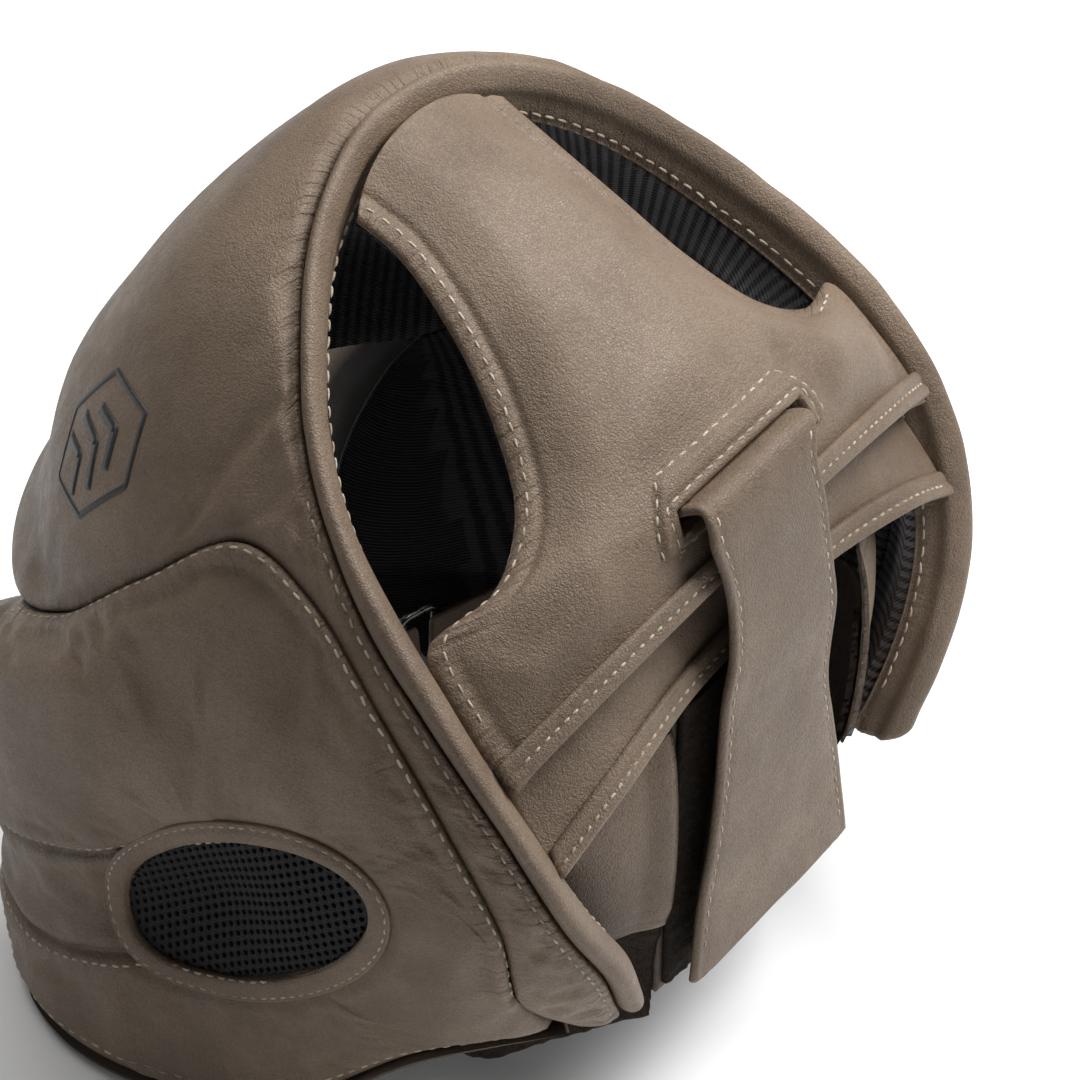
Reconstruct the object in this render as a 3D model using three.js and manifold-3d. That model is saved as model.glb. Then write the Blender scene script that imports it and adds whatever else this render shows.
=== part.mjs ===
// Boxing headgear with a padded brow and cheek shell, an adjustable crown panel and a rear strap closure.
// Millimetres, +Z up, face towards -Y. The origin is on the ground, under the middle of the headgear's overall depth.
import * as THREE from "three";
import { mergeVertices } from "three/addons/utils/BufferGeometryUtils.js";
import Module from "manifold-3d";

const wasm = await Module();
wasm.setup();

// ---- Driving dimensions ----
const AXIS_Y = -6; // the head's upright axis
const BOX_MIDDLE_Y = -12.95; // the middle of the whole depth, where the origin is
const BELT_Z = 105; // walls are upright below this height and a dome above it
const HALF_WIDTH = 97.5; // reference surface, half width
const FRONT_DEPTH = 95; // reference surface, axis to front
const REAR_DEPTH = 94; // reference surface, axis to rear
const DOME_RISE = 128; // reference surface, belt to top
const FRONT_POWER = 2.2; // roundness of the plan: 2 is an ellipse, more is boxier
const REAR_POWER_LOW = 2.2;
const REAR_POWER_HIGH = 4.2;
const DOME_POWER = 1.9;
const JAW_TAPER = 0.05; // how much the shell narrows by the ground

const GAP = 0.3; // between pieces that touch
const SEAM_GAP = 1.2; // between the side pads and the forehead's border
const SIDE_REAR_INSET = 0.015; // share of a side pad's length left free at the rear corner
const REAR_CORNER_GAP = 1.5; // extra gap along the seam at the rear corner
const FOAM_TRIM = 0.05; // part of a grid step left off where foam blocks meet
const LEATHER = 1.5; // outer cover
const LINING = 1.2; // ribbed knit lining
const OUTER_LEVEL = 10; // outer face of the pads above the reference surface
const INNER_LEVEL = -14; // inner face of the pads
const RIM_INNER_LEVEL = -4; // inner face of the pads where they thin out towards the rim
const RIM_WIDTH = 8; // rolled rim, measured along the shell
const GUSSET = 1.7; // leather gusset that closes the bottom of each side pad
const BROW_SWELL = 5;
const FOREHEAD_HOLLOW = 7;
const CHEEK_SWELL = 12; // how far the cheek and jaw stand out beside the face opening
const CHANNEL_DEPTH = 4.5;

const EAR_CENTRE = [3, 80]; // y, z
const EAR_HALF_LENGTH = 45;
const EAR_HALF_HEIGHT = 20;
const EAR_TILT = 36 * THREE.MathUtils.DEG2RAD;
const EAR_RING_WIDTH = 6;
const EAR_RING_HEIGHT = 1.2;
const EAR_MESH_DEPTH = 2; // below the pad's outer face
const EAR_MESH_THICKNESS = 2.5;

const CROWN_LEATHER = 1.4;
const CROWN_FOAM = 2.5;
const SLOT_HALF_WIDTH = 25;
const SLOT_HEIGHT = 5;
const SLOT_CENTRE = [0, 72, 180];
const FACING_HALF_WIDTH = 33;
const FACING_BORDER = 8;
const FACING_HEIGHT = 1.2; // slot border above the crown's leather
const HEM_HEIGHT = 1.1;
const ANCHOR_THICKNESS = 1.6;
const STRAP_THICKNESS = 2.4;
const HOOK_THICKNESS = 1.6;
const NAPE_PANEL_FOOT = 38; // height above the ground
const NAPE_PANEL_TOP = 130;
const NAPE_PILE_INSET = 1.5;
const CHIN_STRAP_BOTTOM = 8;
const CHIN_STRAP_WIDTH = 25;
const CHIN_PILE_WIDTH = 21;

// ---- Colours and finishes ----
const finish = (color, roughness) => () => new THREE.MeshStandardMaterial({ color, roughness, metalness: 0 });
const leather = finish(0x6b5a4c, 0.5);
const darkLeather = finish(0x4a3b31, 0.55);
const knit = finish(0x2b2b2d, 0.9);
const airMesh = finish(0x151515, 0.8);
const foam = finish(0x3a3a3c, 0.95);
const loopPile = finish(0x2a211b, 1.0);
const hookTape = finish(0x1d1a18, 0.9);
const steel = () => new THREE.MeshStandardMaterial({ color: 0x77736c, roughness: 0.3, metalness: 1 });

const assembly = new THREE.Group(); // in the head's own coordinates
assembly.position.y = -BOX_MIDDLE_Y;
function add(name, geometry, material) {
  const mesh = new THREE.Mesh(geometry, material());
  mesh.name = name;
  assembly.add(mesh);
}

// ---- Reference surface ----
const point = (x, y, z) => new THREE.Vector3(x, y, z);
const smooth = (from, to, x) => THREE.MathUtils.smoothstep((x - from) / (to - from), 0, 1);
const hump = (x, centre, half) => Math.exp(-(((x - centre) / half) ** 2));

function radiusAlong(d, z) {
  const front = d.y < 0;
  const power = front
    ? FRONT_POWER
    : THREE.MathUtils.lerp(REAR_POWER_LOW, REAR_POWER_HIGH, smooth(45, 105, z));
  const below = Math.max(0, (BELT_Z - z) / BELT_Z);
  const taper = 1 - JAW_TAPER * below * below;
  const halfDepth = (front ? FRONT_DEPTH : REAR_DEPTH) * taper;
  const plan = Math.abs(d.x / (HALF_WIDTH * taper)) ** power + Math.abs(d.y / halfDepth) ** power;
  return (plan ** (DOME_POWER / power) + Math.abs(d.z / DOME_RISE) ** DOME_POWER) ** (-1 / DOME_POWER);
}

// The point at a level above the reference surface, straight out from the head through p.
function atLevel(p, level) {
  const centre = point(0, AXIS_Y, Math.min(p.z, BELT_Z));
  const d = p.clone().sub(centre).normalize();
  return centre.addScaledVector(d, radiusAlong(d, p.z) + level);
}

// ---- Shell outline on the left half, from the rear lower corner round to the middle of the front ----
const curve = (points) => new THREE.CatmullRomCurve3(points.map((p) => point(...p)));
const mirror = (p) => [-p[0], p[1], p[2]];
const RIM = [
  [49, 80, 50], [68, 91, 80], [80, 87, 103], [86, 74, 130], [85, 52, 156], [78, 18, 189],
  [66, 3, 204], [50, -9, 218], [36, -17, 227], [24, -21, 232], [12, -24, 235], [0, -25, 236],
];
const SEAM = [
  [66, 70, 55], [90, 72, 76], [96, 72, 104], [99, 58, 134], [97, 40, 155], [91, 16, 174],
  [88, -5, 179], [94, -30, 160], [93, -58, 134], [78, -84, 117], [42, -108, 123], [0, -118, 126],
];
const BOTTOM = [
  [67, 69, 54], [80, 58, 51], [92, 42, 42], [99, 25, 26], [103, 8, 8],
  [104, -8, 0], [103, -28, 0], [100, -52, 0], [86, -88, 0],
];
const SIDE_FIRST = 1; // the side pad's seam runs between these two outline points
const SIDE_LAST = 9;
const OUTLINE_STEPS = 2 * (RIM.length - 1); // from one rear corner to the other
const COLUMNS_PER_STEP = 2;
const PAD_ROWS = 6;
const SIDE_ROWS = 10;
const FRONT_BOW = [-26, -27]; // x, y: how far the cheek's front edge bows forward

const bothSides = (list) => [...list, ...list.slice(0, -1).reverse().map(mirror)];
const rimCurve = curve(bothSides(RIM));
const seamCurve = curve(bothSides(SEAM));
const sideBottom = curve(BOTTOM);
const sideTopPoint = (u) =>
  seamCurve.getPoint(THREE.MathUtils.lerp(SIDE_FIRST, SIDE_LAST, u) / OUTLINE_STEPS);

// A place between two outlines, with a margin in mm kept at each.
function between(from, to, v, marginFrom, marginTo) {
  const length = from.distanceTo(to);
  return from.clone().lerp(to, (marginFrom + v * (length - marginFrom - marginTo)) / length);
}

function borderPlace(u, v, marginRim = RIM_WIDTH) {
  const corner = 1 - smooth(0, 3 / OUTLINE_STEPS, Math.min(u, 1 - u));
  const marginSeam = SEAM_GAP / 2 + REAR_CORNER_GAP * corner;
  return between(seamCurve.getPoint(u), rimCurve.getPoint(u), v, marginSeam, marginRim);
}

function sidePlace(share, v, marginBottom = GUSSET + 2 * GAP) {
  const u = Math.max(share, SIDE_REAR_INSET);
  const p = between(sideTopPoint(u), sideBottom.getPoint(u), v, SEAM_GAP / 2, marginBottom);
  const bow = u ** 4 * Math.sin(Math.PI * v);
  p.x += FRONT_BOW[0] * bow;
  p.y += FRONT_BOW[1] * bow;
  p.z = Math.max(p.z, 0);
  return p;
}

// ---- Levels of the pads' outer and inner faces ----
function outerLevel(p) {
  const front = 1 - smooth(-95, -40, p.y);
  return OUTER_LEVEL + front * (BROW_SWELL * hump(p.z, 128, 22) - FOREHEAD_HOLLOW * hump(p.z, 190, 34));
}

const rearThinning = (p) => 8 * smooth(40, 80, p.y);
const borderInner = (p, v) => INNER_LEVEL + Math.max(rearThinning(p), (RIM_INNER_LEVEL - INNER_LEVEL) * v * v);
const sideInner = (p) => INNER_LEVEL + rearThinning(p);

// The channel that runs forward from the ear opening, as a share of the side pad's height.
const channelMiddle = (u) => 0.57 + 0.15 * smooth(0.5, 1, u);
const channelHalf = 0.1;
const CHANNEL_ROWS = [0.5, 0.7]; // the grid rows that follow the channel's two seams

// The share of the side pad's height at a row of its grid, so that rows run along the channel.
function rowHeight(u, row) {
  const top = channelMiddle(u) - channelHalf;
  const foot = channelMiddle(u) + channelHalf;
  if (row <= CHANNEL_ROWS[0]) return (top * row) / CHANNEL_ROWS[0];
  if (row >= CHANNEL_ROWS[1]) return THREE.MathUtils.mapLinear(row, CHANNEL_ROWS[1], 1, foot, 1);
  return THREE.MathUtils.mapLinear(row, ...CHANNEL_ROWS, top, foot);
}
function sideOuter(p, u, v) {
  const swell = CHEEK_SWELL * smooth(0.6, 0.95, u) * smooth(0, 0.22, v);
  const channel = CHANNEL_DEPTH * smooth(0.45, 0.6, u) * hump(v, channelMiddle(u), channelHalf);
  return outerLevel(p) + swell - channel;
}

// ---- Closed solids ----
function closed(positions, index) {
  const geometry = new THREE.BufferGeometry();
  geometry.setAttribute("position", new THREE.Float32BufferAttribute(positions.flatMap((p) => p.toArray()), 3));
  let volume = 0;
  for (let i = 0; i < index.length; i += 3) {
    const [a, b, c] = [0, 1, 2].map((k) => positions[index[i + k]]);
    volume += a.dot(b.clone().cross(c));
  }
  geometry.setIndex(volume < 0 ? index.slice().reverse() : index);
  return geometry;
}

// A slab with a grid on both faces; place(u, v, face) gives a point, with face 0 or 1.
function slab(columns, rows, place) {
  const positions = [];
  const index = [];
  const id = (i, j, face) => (face * (columns + 1) + i) * (rows + 1) + j;
  for (const face of [0, 1])
    for (let i = 0; i <= columns; i++)
      for (let j = 0; j <= rows; j++) positions.push(place(i / columns, j / rows, face));
  const quad = (a, b, c, d) => index.push(a, b, c, a, c, d);
  for (let i = 0; i < columns; i++)
    for (let j = 0; j < rows; j++) {
      quad(id(i, j, 1), id(i + 1, j, 1), id(i + 1, j + 1, 1), id(i, j + 1, 1));
      quad(id(i, j, 0), id(i, j + 1, 0), id(i + 1, j + 1, 0), id(i + 1, j, 0));
    }
  for (let i = 0; i < columns; i++) {
    quad(id(i, 0, 0), id(i + 1, 0, 0), id(i + 1, 0, 1), id(i, 0, 1));
    quad(id(i, rows, 1), id(i + 1, rows, 1), id(i + 1, rows, 0), id(i, rows, 0));
  }
  for (let j = 0; j < rows; j++) {
    quad(id(0, j, 1), id(0, j + 1, 1), id(0, j + 1, 0), id(0, j, 0));
    quad(id(columns, j, 0), id(columns, j + 1, 0), id(columns, j + 1, 1), id(columns, j, 1));
  }
  return closed(positions, index);
}

// A bar through closed rings of points, with a flat cap at each end.
function bar(rings) {
  const sides = rings[0].length;
  const positions = rings.flat();
  const index = [];
  for (let i = 0; i + 1 < rings.length; i++)
    for (let k = 0; k < sides; k++) {
      const [a, b] = [i * sides + k, i * sides + ((k + 1) % sides)];
      index.push(a, b, b + sides, a, b + sides, a + sides);
    }
  const last = (rings.length - 1) * sides;
  for (let k = 1; k + 1 < sides; k++) {
    index.push(0, k + 1, k);
    index.push(last, last + k, last + k + 1);
  }
  return closed(positions, index);
}

function mirrored(geometry) {
  const other = geometry.clone();
  other.scale(-1, 1, 1);
  const index = Array.from(other.index.array);
  other.setIndex(index.reverse());
  return other;
}

// ---- Joining and cutting ----
function solid(geometry) {
  const bare = geometry.clone();
  bare.deleteAttribute("normal");
  bare.deleteAttribute("uv");
  const merged = mergeVertices(bare, 1e-4);
  const mesh = { numProp: 3, vertProperties: merged.attributes.position.array };
  mesh.triVerts = new Uint32Array(merged.index.array);
  return new wasm.Manifold(new wasm.Mesh(mesh));
}

function geometryOf(manifold) {
  const mesh = manifold.getMesh();
  const geometry = new THREE.BufferGeometry();
  geometry.setAttribute("position", new THREE.Float32BufferAttribute(mesh.vertProperties, 3));
  geometry.setIndex(Array.from(mesh.triVerts));
  return geometry;
}

const cut = (geometry, tool) => geometryOf(solid(geometry).subtract(solid(tool)));
const keep = (geometry, tool) => geometryOf(solid(geometry).intersect(solid(tool)));

function box(size, centre, tilt = 0) {
  const geometry = new THREE.BoxGeometry(...size);
  geometry.rotateX(tilt);
  geometry.translate(...centre);
  return geometry;
}

// ---- Side pads ----
// An oval prism across the left ear, grown by a margin.
function earTool(margin) {
  const segments = 22;
  const ring = (x) =>
    Array.from({ length: segments }, (_, k) => {
      const t = (2 * Math.PI * k) / segments;
      const along = (EAR_HALF_LENGTH + margin) * Math.cos(t);
      const across = (EAR_HALF_HEIGHT + margin) * Math.sin(t);
      const y = EAR_CENTRE[0] + along * Math.cos(EAR_TILT) - across * Math.sin(EAR_TILT);
      const z = EAR_CENTRE[1] + along * Math.sin(EAR_TILT) + across * Math.cos(EAR_TILT);
      return point(x, y, z);
    });
  return bar([ring(55), ring(130)]);
}

// A layer of the side pad over a range of its grid, in whole columns and rows.
function sideLayer([c0, c1, r0, r1], low, high, trim = 0) {
  const columns = COLUMNS_PER_STEP * (SIDE_LAST - SIDE_FIRST);
  return slab(c1 - c0, r1 - r0, (a, b, face) => {
    const u = THREE.MathUtils.lerp(c0 + trim, c1 - trim, a) / columns;
    const v = rowHeight(u, THREE.MathUtils.lerp(r0 + trim, r1 - trim, b) / SIDE_ROWS);
    const p = sidePlace(u, v);
    return atLevel(p, face ? high(p, u, v) : low(p, u, v));
  });
}

function addSides() {
  const coverLow = (p, u, v) => sideOuter(p, u, v) - LEATHER;
  const foamHigh = (p, u, v) => sideOuter(p, u, v) - LEATHER - GAP;
  const foamLow = (p) => sideInner(p) + LINING + 2 * GAP;
  const liningHigh = (p) => sideInner(p) + LINING;
  const ringLow = (p, u, v) => sideOuter(p, u, v) + GAP;
  const ringHigh = (p, u, v) => sideOuter(p, u, v) + GAP + EAR_RING_HEIGHT;
  const meshLow = (p, u, v) => sideOuter(p, u, v) - EAR_MESH_DEPTH - EAR_MESH_THICKNESS;
  const meshHigh = (p, u, v) => sideOuter(p, u, v) - EAR_MESH_DEPTH;
  const earHole = earTool(0);
  const whole = [0, 16, 0, 10];
  const aroundEar = [4, 14, 1, 10];
  const foamPiece = (range) => [cut(sideLayer(range, foamLow, foamHigh, FOAM_TRIM), earHole), foam];
  const ring = cut(keep(sideLayer(aroundEar, ringLow, ringHigh), earTool(EAR_RING_WIDTH)), earHole);
  const pieces = {
    side_cover: [cut(sideLayer(whole, coverLow, sideOuter), earHole), leather],
    rear_foam: foamPiece([0, 8, 0, 10]),
    cheek_foam: foamPiece([8, 16, 0, 5]),
    channel_foam: foamPiece([8, 16, 5, 7]),
    jaw_foam: foamPiece([8, 16, 7, 10]),
    side_lining: [cut(sideLayer(whole, sideInner, liningHigh), earHole), knit],
    jaw_gusset: [gusset(sideInner, sideOuter), leather],
    ear_mesh: [keep(sideLayer(aroundEar, meshLow, meshHigh), earTool(-GAP)), airMesh],
    ear_ring: [ring, leather],
  };
  for (const [name, [geometry, material]] of Object.entries(pieces)) {
    add("left_" + name, geometry, material);
    add("right_" + name, mirrored(geometry), material);
  }
}

// The flat leather strip under a side pad: its lower face is flat on the ground along the jaw.
function gusset(low, high) {
  const columns = COLUMNS_PER_STEP * (SIDE_LAST - SIDE_FIRST);
  return slab(columns, 1, (u, v, face) => {
    const top = sideTopPoint(u);
    const foot = sideBottom.getPoint(u);
    foot.z = Math.max(foot.z, 0);
    const p = top.lerp(foot, 1 - (GUSSET * (1 - v)) / top.distanceTo(foot));
    return atLevel(p, face ? high(p, u, 1) : low(p));
  });
}

// ---- Forehead and the border that follows the rim down to the rear corners ----
// A layer of the border over a range of its columns, which line up with the side pads' columns.
function borderLayer(c0, c1, low, high, trim = 0) {
  return slab(c1 - c0, PAD_ROWS, (a, v, face) => {
    const column = THREE.MathUtils.lerp(c0 + trim, c1 - trim, a);
    const p = borderPlace(column / (COLUMNS_PER_STEP * OUTLINE_STEPS), v);
    return atLevel(p, face ? high(p, v) : low(p, v));
  });
}

function addForehead() {
  const coverLow = (p) => outerLevel(p) - LEATHER;
  const foamHigh = (p) => outerLevel(p) - LEATHER - GAP;
  const foamLow = (p, v) => borderInner(p, v) + LINING + GAP;
  const liningHigh = (p, v) => borderInner(p, v) + LINING;
  add("forehead_cover", borderLayer(0, 44, coverLow, outerLevel), leather);
  add("forehead_lining", borderLayer(0, 44, borderInner, liningHigh), knit);
  const spans = {
    left_border_foam: [0, 9],
    left_temple_foam: [9, 16],
    forehead_foam: [16, 28],
    right_temple_foam: [28, 35],
    right_border_foam: [35, 44],
  };
  for (const [name, [c0, c1]] of Object.entries(spans))
    add(name, borderLayer(c0, c1, foamLow, foamHigh, FOAM_TRIM), foam);
}

// The rolled rim that caps the pads' upper edge.
function addRim() {
  const steps = COLUMNS_PER_STEP * OUTLINE_STEPS;
  const sides = 8;
  const rings = [];
  for (let i = 0; i <= steps; i++) {
    const u = i / steps;
    const seam = seamCurve.getPoint(u);
    const rim = rimCurve.getPoint(u);
    const length = seam.distanceTo(rim);
    const ring = [];
    for (let k = 0; k < sides; k++) {
      const t = (2 * Math.PI * (k + 0.5)) / sides;
      const back = RIM_WIDTH / 2 - (RIM_WIDTH / 2 - GAP) * Math.cos(t);
      const p = seam.clone().lerp(rim, 1 - back / length);
      const middle = (outerLevel(p) + RIM_INNER_LEVEL) / 2;
      const half = (outerLevel(p) - RIM_INNER_LEVEL) / 2;
      ring.push(atLevel(p, middle + half * Math.sin(t)));
    }
    rings.push(ring);
  }
  add("rim_roll", bar(rings), leather);
}

// ---- Crown panel ----
// Stations from the front of the crown to the rear hem: the middle, and the left edge.
const CROWN_MIDDLE = curve([
  [0, -22.5, 235.5], [0, 0, 227], [0, 20, 217], [0, 37, 207], [0, 52, 198], [0, 63, 190],
  [0, 72, 181], [0, 75.5, 172], [0, 78.5, 163],
]);
const CROWN_EDGE = curve([
  [29, -15.8, 228.2], [29, -4, 223], [33, 14, 210], [39, 29, 196], [49, 42, 182], [64, 46, 172],
  [80, 42, 167], [83, 56, 152], [83, 69, 139],
]);
const CROWN_ROWS = 16;
const CROWN_COLUMNS = 10;
const CROWN_INNER_REACH = 0.96; // how far the foam and the lining reach towards the panel's edges
const CROWN_SHOULDER = 0.62; // where the panel turns down, as a share of its half width

function crownFace(u, v) {
  const middle = CROWN_MIDDLE.getPoint(u);
  const edge = CROWN_EDGE.getPoint(u);
  const side = Math.sign(v);
  const t = Math.abs(v);
  const shoulder = point(edge.x * CROWN_SHOULDER, middle.y, middle.z);
  const p = middle.multiplyScalar((1 - t) ** 2);
  p.addScaledVector(shoulder, 2 * t * (1 - t)).addScaledVector(edge, t * t);
  p.x *= side;
  return p;
}

function crownAt(u, v, height) {
  const small = 0.01;
  const along = crownFace(Math.min(1, u + small), v).sub(crownFace(Math.max(0, u - small), v));
  const across = crownFace(u, v + small).sub(crownFace(u, v - small));
  const normal = along.cross(across).normalize();
  if (normal.y + normal.z < 0) normal.negate();
  return crownFace(u, v).addScaledVector(normal, height);
}

// A layer of the crown over a range of its rows, from the front to the hem.
const crownLayer = (r0, r1, low, high, reach = 1) =>
  slab(r1 - r0, CROWN_COLUMNS, (a, b, face) =>
    crownAt(THREE.MathUtils.lerp(r0, r1, a) / CROWN_ROWS, reach * (2 * b - 1), face ? high : low),
  );

function addCrown() {
  const slotTilt = -30 * THREE.MathUtils.DEG2RAD;
  const slot = box([2 * SLOT_HALF_WIDTH, SLOT_HEIGHT, 40], SLOT_CENTRE, slotTilt);
  const middle = (halfWidth) => box([2 * halfWidth, 400, 400], [0, 0, 200]);
  const foamHigh = -CROWN_LEATHER - 2 * GAP;
  const foamLow = foamHigh - CROWN_FOAM;
  const liningLow = foamLow - GAP - LINING;
  add("crown_cover", cut(crownLayer(0, 16, -CROWN_LEATHER, 0), slot), leather);
  add("crown_foam", cut(crownLayer(0, 16, foamLow, foamHigh, CROWN_INNER_REACH), slot), foam);
  add("crown_lining", cut(crownLayer(0, 16, liningLow, foamLow - GAP, CROWN_INNER_REACH), slot), knit);
  const border = [2 * (FACING_HALF_WIDTH - FACING_BORDER), SLOT_HEIGHT, 40];
  const facing = keep(crownLayer(10, 14, GAP, GAP + FACING_HEIGHT), middle(FACING_HALF_WIDTH));
  add("slot_facing", cut(facing, box(border, SLOT_CENTRE, slotTilt)), leather);
  add("crown_hem", crownLayer(15, 16, GAP, GAP + HEM_HEIGHT), leather);
  const anchor = keep(crownLayer(13, 16, liningLow - GAP - ANCHOR_THICKNESS, liningLow - GAP), middle(22));
  add("strap_anchor", anchor, leather);
}

// ---- Rear band under the crown's hem ----
function addRearBand() {
  const top = curve(bothSides([[78, 58, 142], [60, 63, 150], [30, 68, 158], [0, 69, 160]]));
  const foot = curve(bothSides([[80.5, 79, 116], [61, 81, 129], [30, 77.5, 133], [0, 77, 134]]));
  const layer = (low, high, v0, reach = 1) =>
    slab(12, 3, (u, v, face) => {
      const p = top.getPoint(u).lerp(foot.getPoint(u), THREE.MathUtils.lerp(v0, 1, v));
      p.x *= reach;
      p.y += face ? high : low;
      return p;
    });
  add("rear_band", layer(-1.6, 0, 0), leather);
  add("rear_band_hem", layer(2 * GAP, 2 * GAP + HEM_HEIGHT, 0.78), leather);
  add("rear_band_lining", layer(-1.6 - 2 * GAP - LINING, -1.6 - 2 * GAP, 0, 0.96), knit);
}

// ---- Nape panel with its pile face, and the arms that reach into the side pads ----
function addNape() {
  const plate = (columns, rows, halfWidth, z0, z1, y0, y1) =>
    slab(columns, rows, (u, v, face) => {
      const z = THREE.MathUtils.lerp(z0, z1, v);
      const x = (2 * u - 1) * halfWidth(z);
      return point(x, (face ? y1 : y0) - 0.0006 * x * x, z);
    });
  const halfWidth = (z) => 36 - 4 * smooth(60, 130, z);
  add("nape_panel", plate(6, 6, halfWidth, NAPE_PANEL_FOOT, NAPE_PANEL_TOP, 73.4, 75.4), darkLeather);
  const pileHalf = (z) => halfWidth(z) - NAPE_PILE_INSET;
  const pile = plate(6, 6, pileHalf, NAPE_PANEL_FOOT + 2, NAPE_PANEL_TOP - 2, 75.4 + GAP, 77.6);
  add("nape_loop", pile, loopPile);
  const line = curve([[37, 74.6, 0], [58, 66, 0], [76, 50, 0], [88, 32, 0]]);
  const arm = (low, high, z0, z1, u0) =>
    slab(8, 3, (a, v, face) => {
      const u = THREE.MathUtils.lerp(u0, 1, a);
      const p = line.getPoint(u);
      p.z = THREE.MathUtils.lerp(z0 - 12 * u, z1 - 28 * u, v);
      return atLevel(p, THREE.MathUtils.lerp(-12.5, -19, smooth(0, 0.45, u)) + (face ? high : low));
    });
  const pieces = {
    nape_arm: [arm(-1, 1, 30, 110, 0.01), darkLeather],
    nape_arm_loop: [arm(2.1, 3.4, 34, 106, 0.16), loopPile],
  };
  for (const [name, [geometry, material]] of Object.entries(pieces)) {
    add("left_" + name, geometry, material);
    add("right_" + name, mirrored(geometry), material);
  }
}

// ---- Closure strap: out of the slot, over the hem and down the nape ----
const STRAP_PATH = curve([
  [2, 76.4, 183], [4.8, 80.4, 176], [3.6, 82.4, 167], [2.4, 83.6, 156], [1.6, 84.4, 142],
  [2.2, 84.4, 128], [2.8, 84, 110], [1.8, 83.6, 90], [0.6, 83.3, 68], [0, 83, 43],
]);
const STRAP_HALF_WIDTHS = curve([[22.4, 0, 0], [21, 0, 0], [20.4, 0, 0], [20, 0, 0], [21.2, 0, 0],
  [23.8, 0, 0], [23, 0, 0], [26, 0, 0], [30.4, 0, 0], [34, 0, 0]]);

function strapLayer(columns, rows, u0, u1, inset, low, high) {
  return slab(columns, rows, (a, b, face) => {
    const u = THREE.MathUtils.lerp(u0, u1, a);
    const p = STRAP_PATH.getPoint(u);
    const tangent = STRAP_PATH.getTangent(u);
    const normal = point(0, -tangent.z, tangent.y);
    p.addScaledVector(normal, face ? high : low);
    p.x += (2 * b - 1) * (STRAP_HALF_WIDTHS.getPoint(u).x - inset);
    return p;
  });
}

function addStrap() {
  const half = STRAP_THICKNESS / 2;
  add("closure_strap", strapLayer(20, 3, 0, 1, 0, -half, half), leather);
  add("closure_hook", strapLayer(10, 2, 0.62, 0.97, 3, -half - GAP - HOOK_THICKNESS, -half - GAP), hookTape);
}

// ---- Chin strap with its ring and peel-back tab ----
const CHIN_HALF_SPAN = 71; // where the strap meets the linings
const CHIN_END_Y = -46;
const CHIN_SAG = 14;
const RING_X = -44;
const CHIN_MIDDLE_Z = CHIN_STRAP_BOTTOM + CHIN_STRAP_WIDTH / 2;

// A strip of strap along the chin line from x0 to x1, between two depths towards the front.
function chinStrip(columns, x0, x1, back, front, width) {
  return slab(columns, 1, (a, b, face) => {
    const x = THREE.MathUtils.lerp(x0, x1, a);
    const y = chinY(x) - (face ? front : back);
    return point(x, y, CHIN_MIDDLE_Z + (b - 0.5) * width);
  });
}

function chinY(x) {
  const share = x / CHIN_HALF_SPAN;
  return CHIN_END_Y - CHIN_SAG * (1 - share * share);
}

// A rectangular wire ring that lies against the strap.
function chinRing() {
  const frame = (path, halfX, halfZ) => {
    path.moveTo(-halfX, -halfZ);
    path.lineTo(halfX, -halfZ);
    path.lineTo(halfX, halfZ);
    path.lineTo(-halfX, halfZ);
    path.closePath();
    return path;
  };
  const outline = frame(new THREE.Shape(), 7.5, 16);
  outline.holes.push(frame(new THREE.Path(), 4.7, 13.2));
  const ring = new THREE.ExtrudeGeometry(outline, { depth: 2.4, bevelEnabled: false });
  ring.rotateX(Math.PI / 2);
  ring.rotateZ(Math.atan((2 * CHIN_SAG * RING_X) / CHIN_HALF_SPAN ** 2));
  ring.translate(RING_X, chinY(RING_X) - 1.5, CHIN_MIDDLE_Z);
  return ring;
}

function addChinStrap() {
  add("chin_strap", chinStrip(14, 68.6, -42.5, -1.1, 1.1, CHIN_STRAP_WIDTH), leather);
  add("chin_loop", chinStrip(10, 30, -33, 1.1 + GAP, 2.5, CHIN_PILE_WIDTH), loopPile);
  add("chin_ring_tab", chinStrip(6, -45.5, -68.6, -1.1, 1.1, CHIN_STRAP_WIDTH), leather);
  add("chin_tab_hook", chinStrip(8, 4, -32, 2.5 + GAP, 3.9, CHIN_PILE_WIDTH), hookTape);
  add("chin_tab", chinStrip(10, 8, -42, 4.4, 6.4, CHIN_STRAP_WIDTH), leather);
  add("chin_ring", chinRing(), steel);
}

addSides();
addForehead();
addRim();
addCrown();
addRearBand();
addNape();
addStrap();
addChinStrap();

const headgear = new THREE.Group();
headgear.add(assembly);
export default headgear;
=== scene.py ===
"""Looks for the boxing headgear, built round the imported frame. Shapes are worked out in millimetres in the head's own
coordinates, as in the CAD source, and turned into metres in the frame when a mesh is made."""

import math

import bmesh
import bpy
import numpy as np
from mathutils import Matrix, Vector
from mathutils.bvhtree import BVHTree


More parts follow.
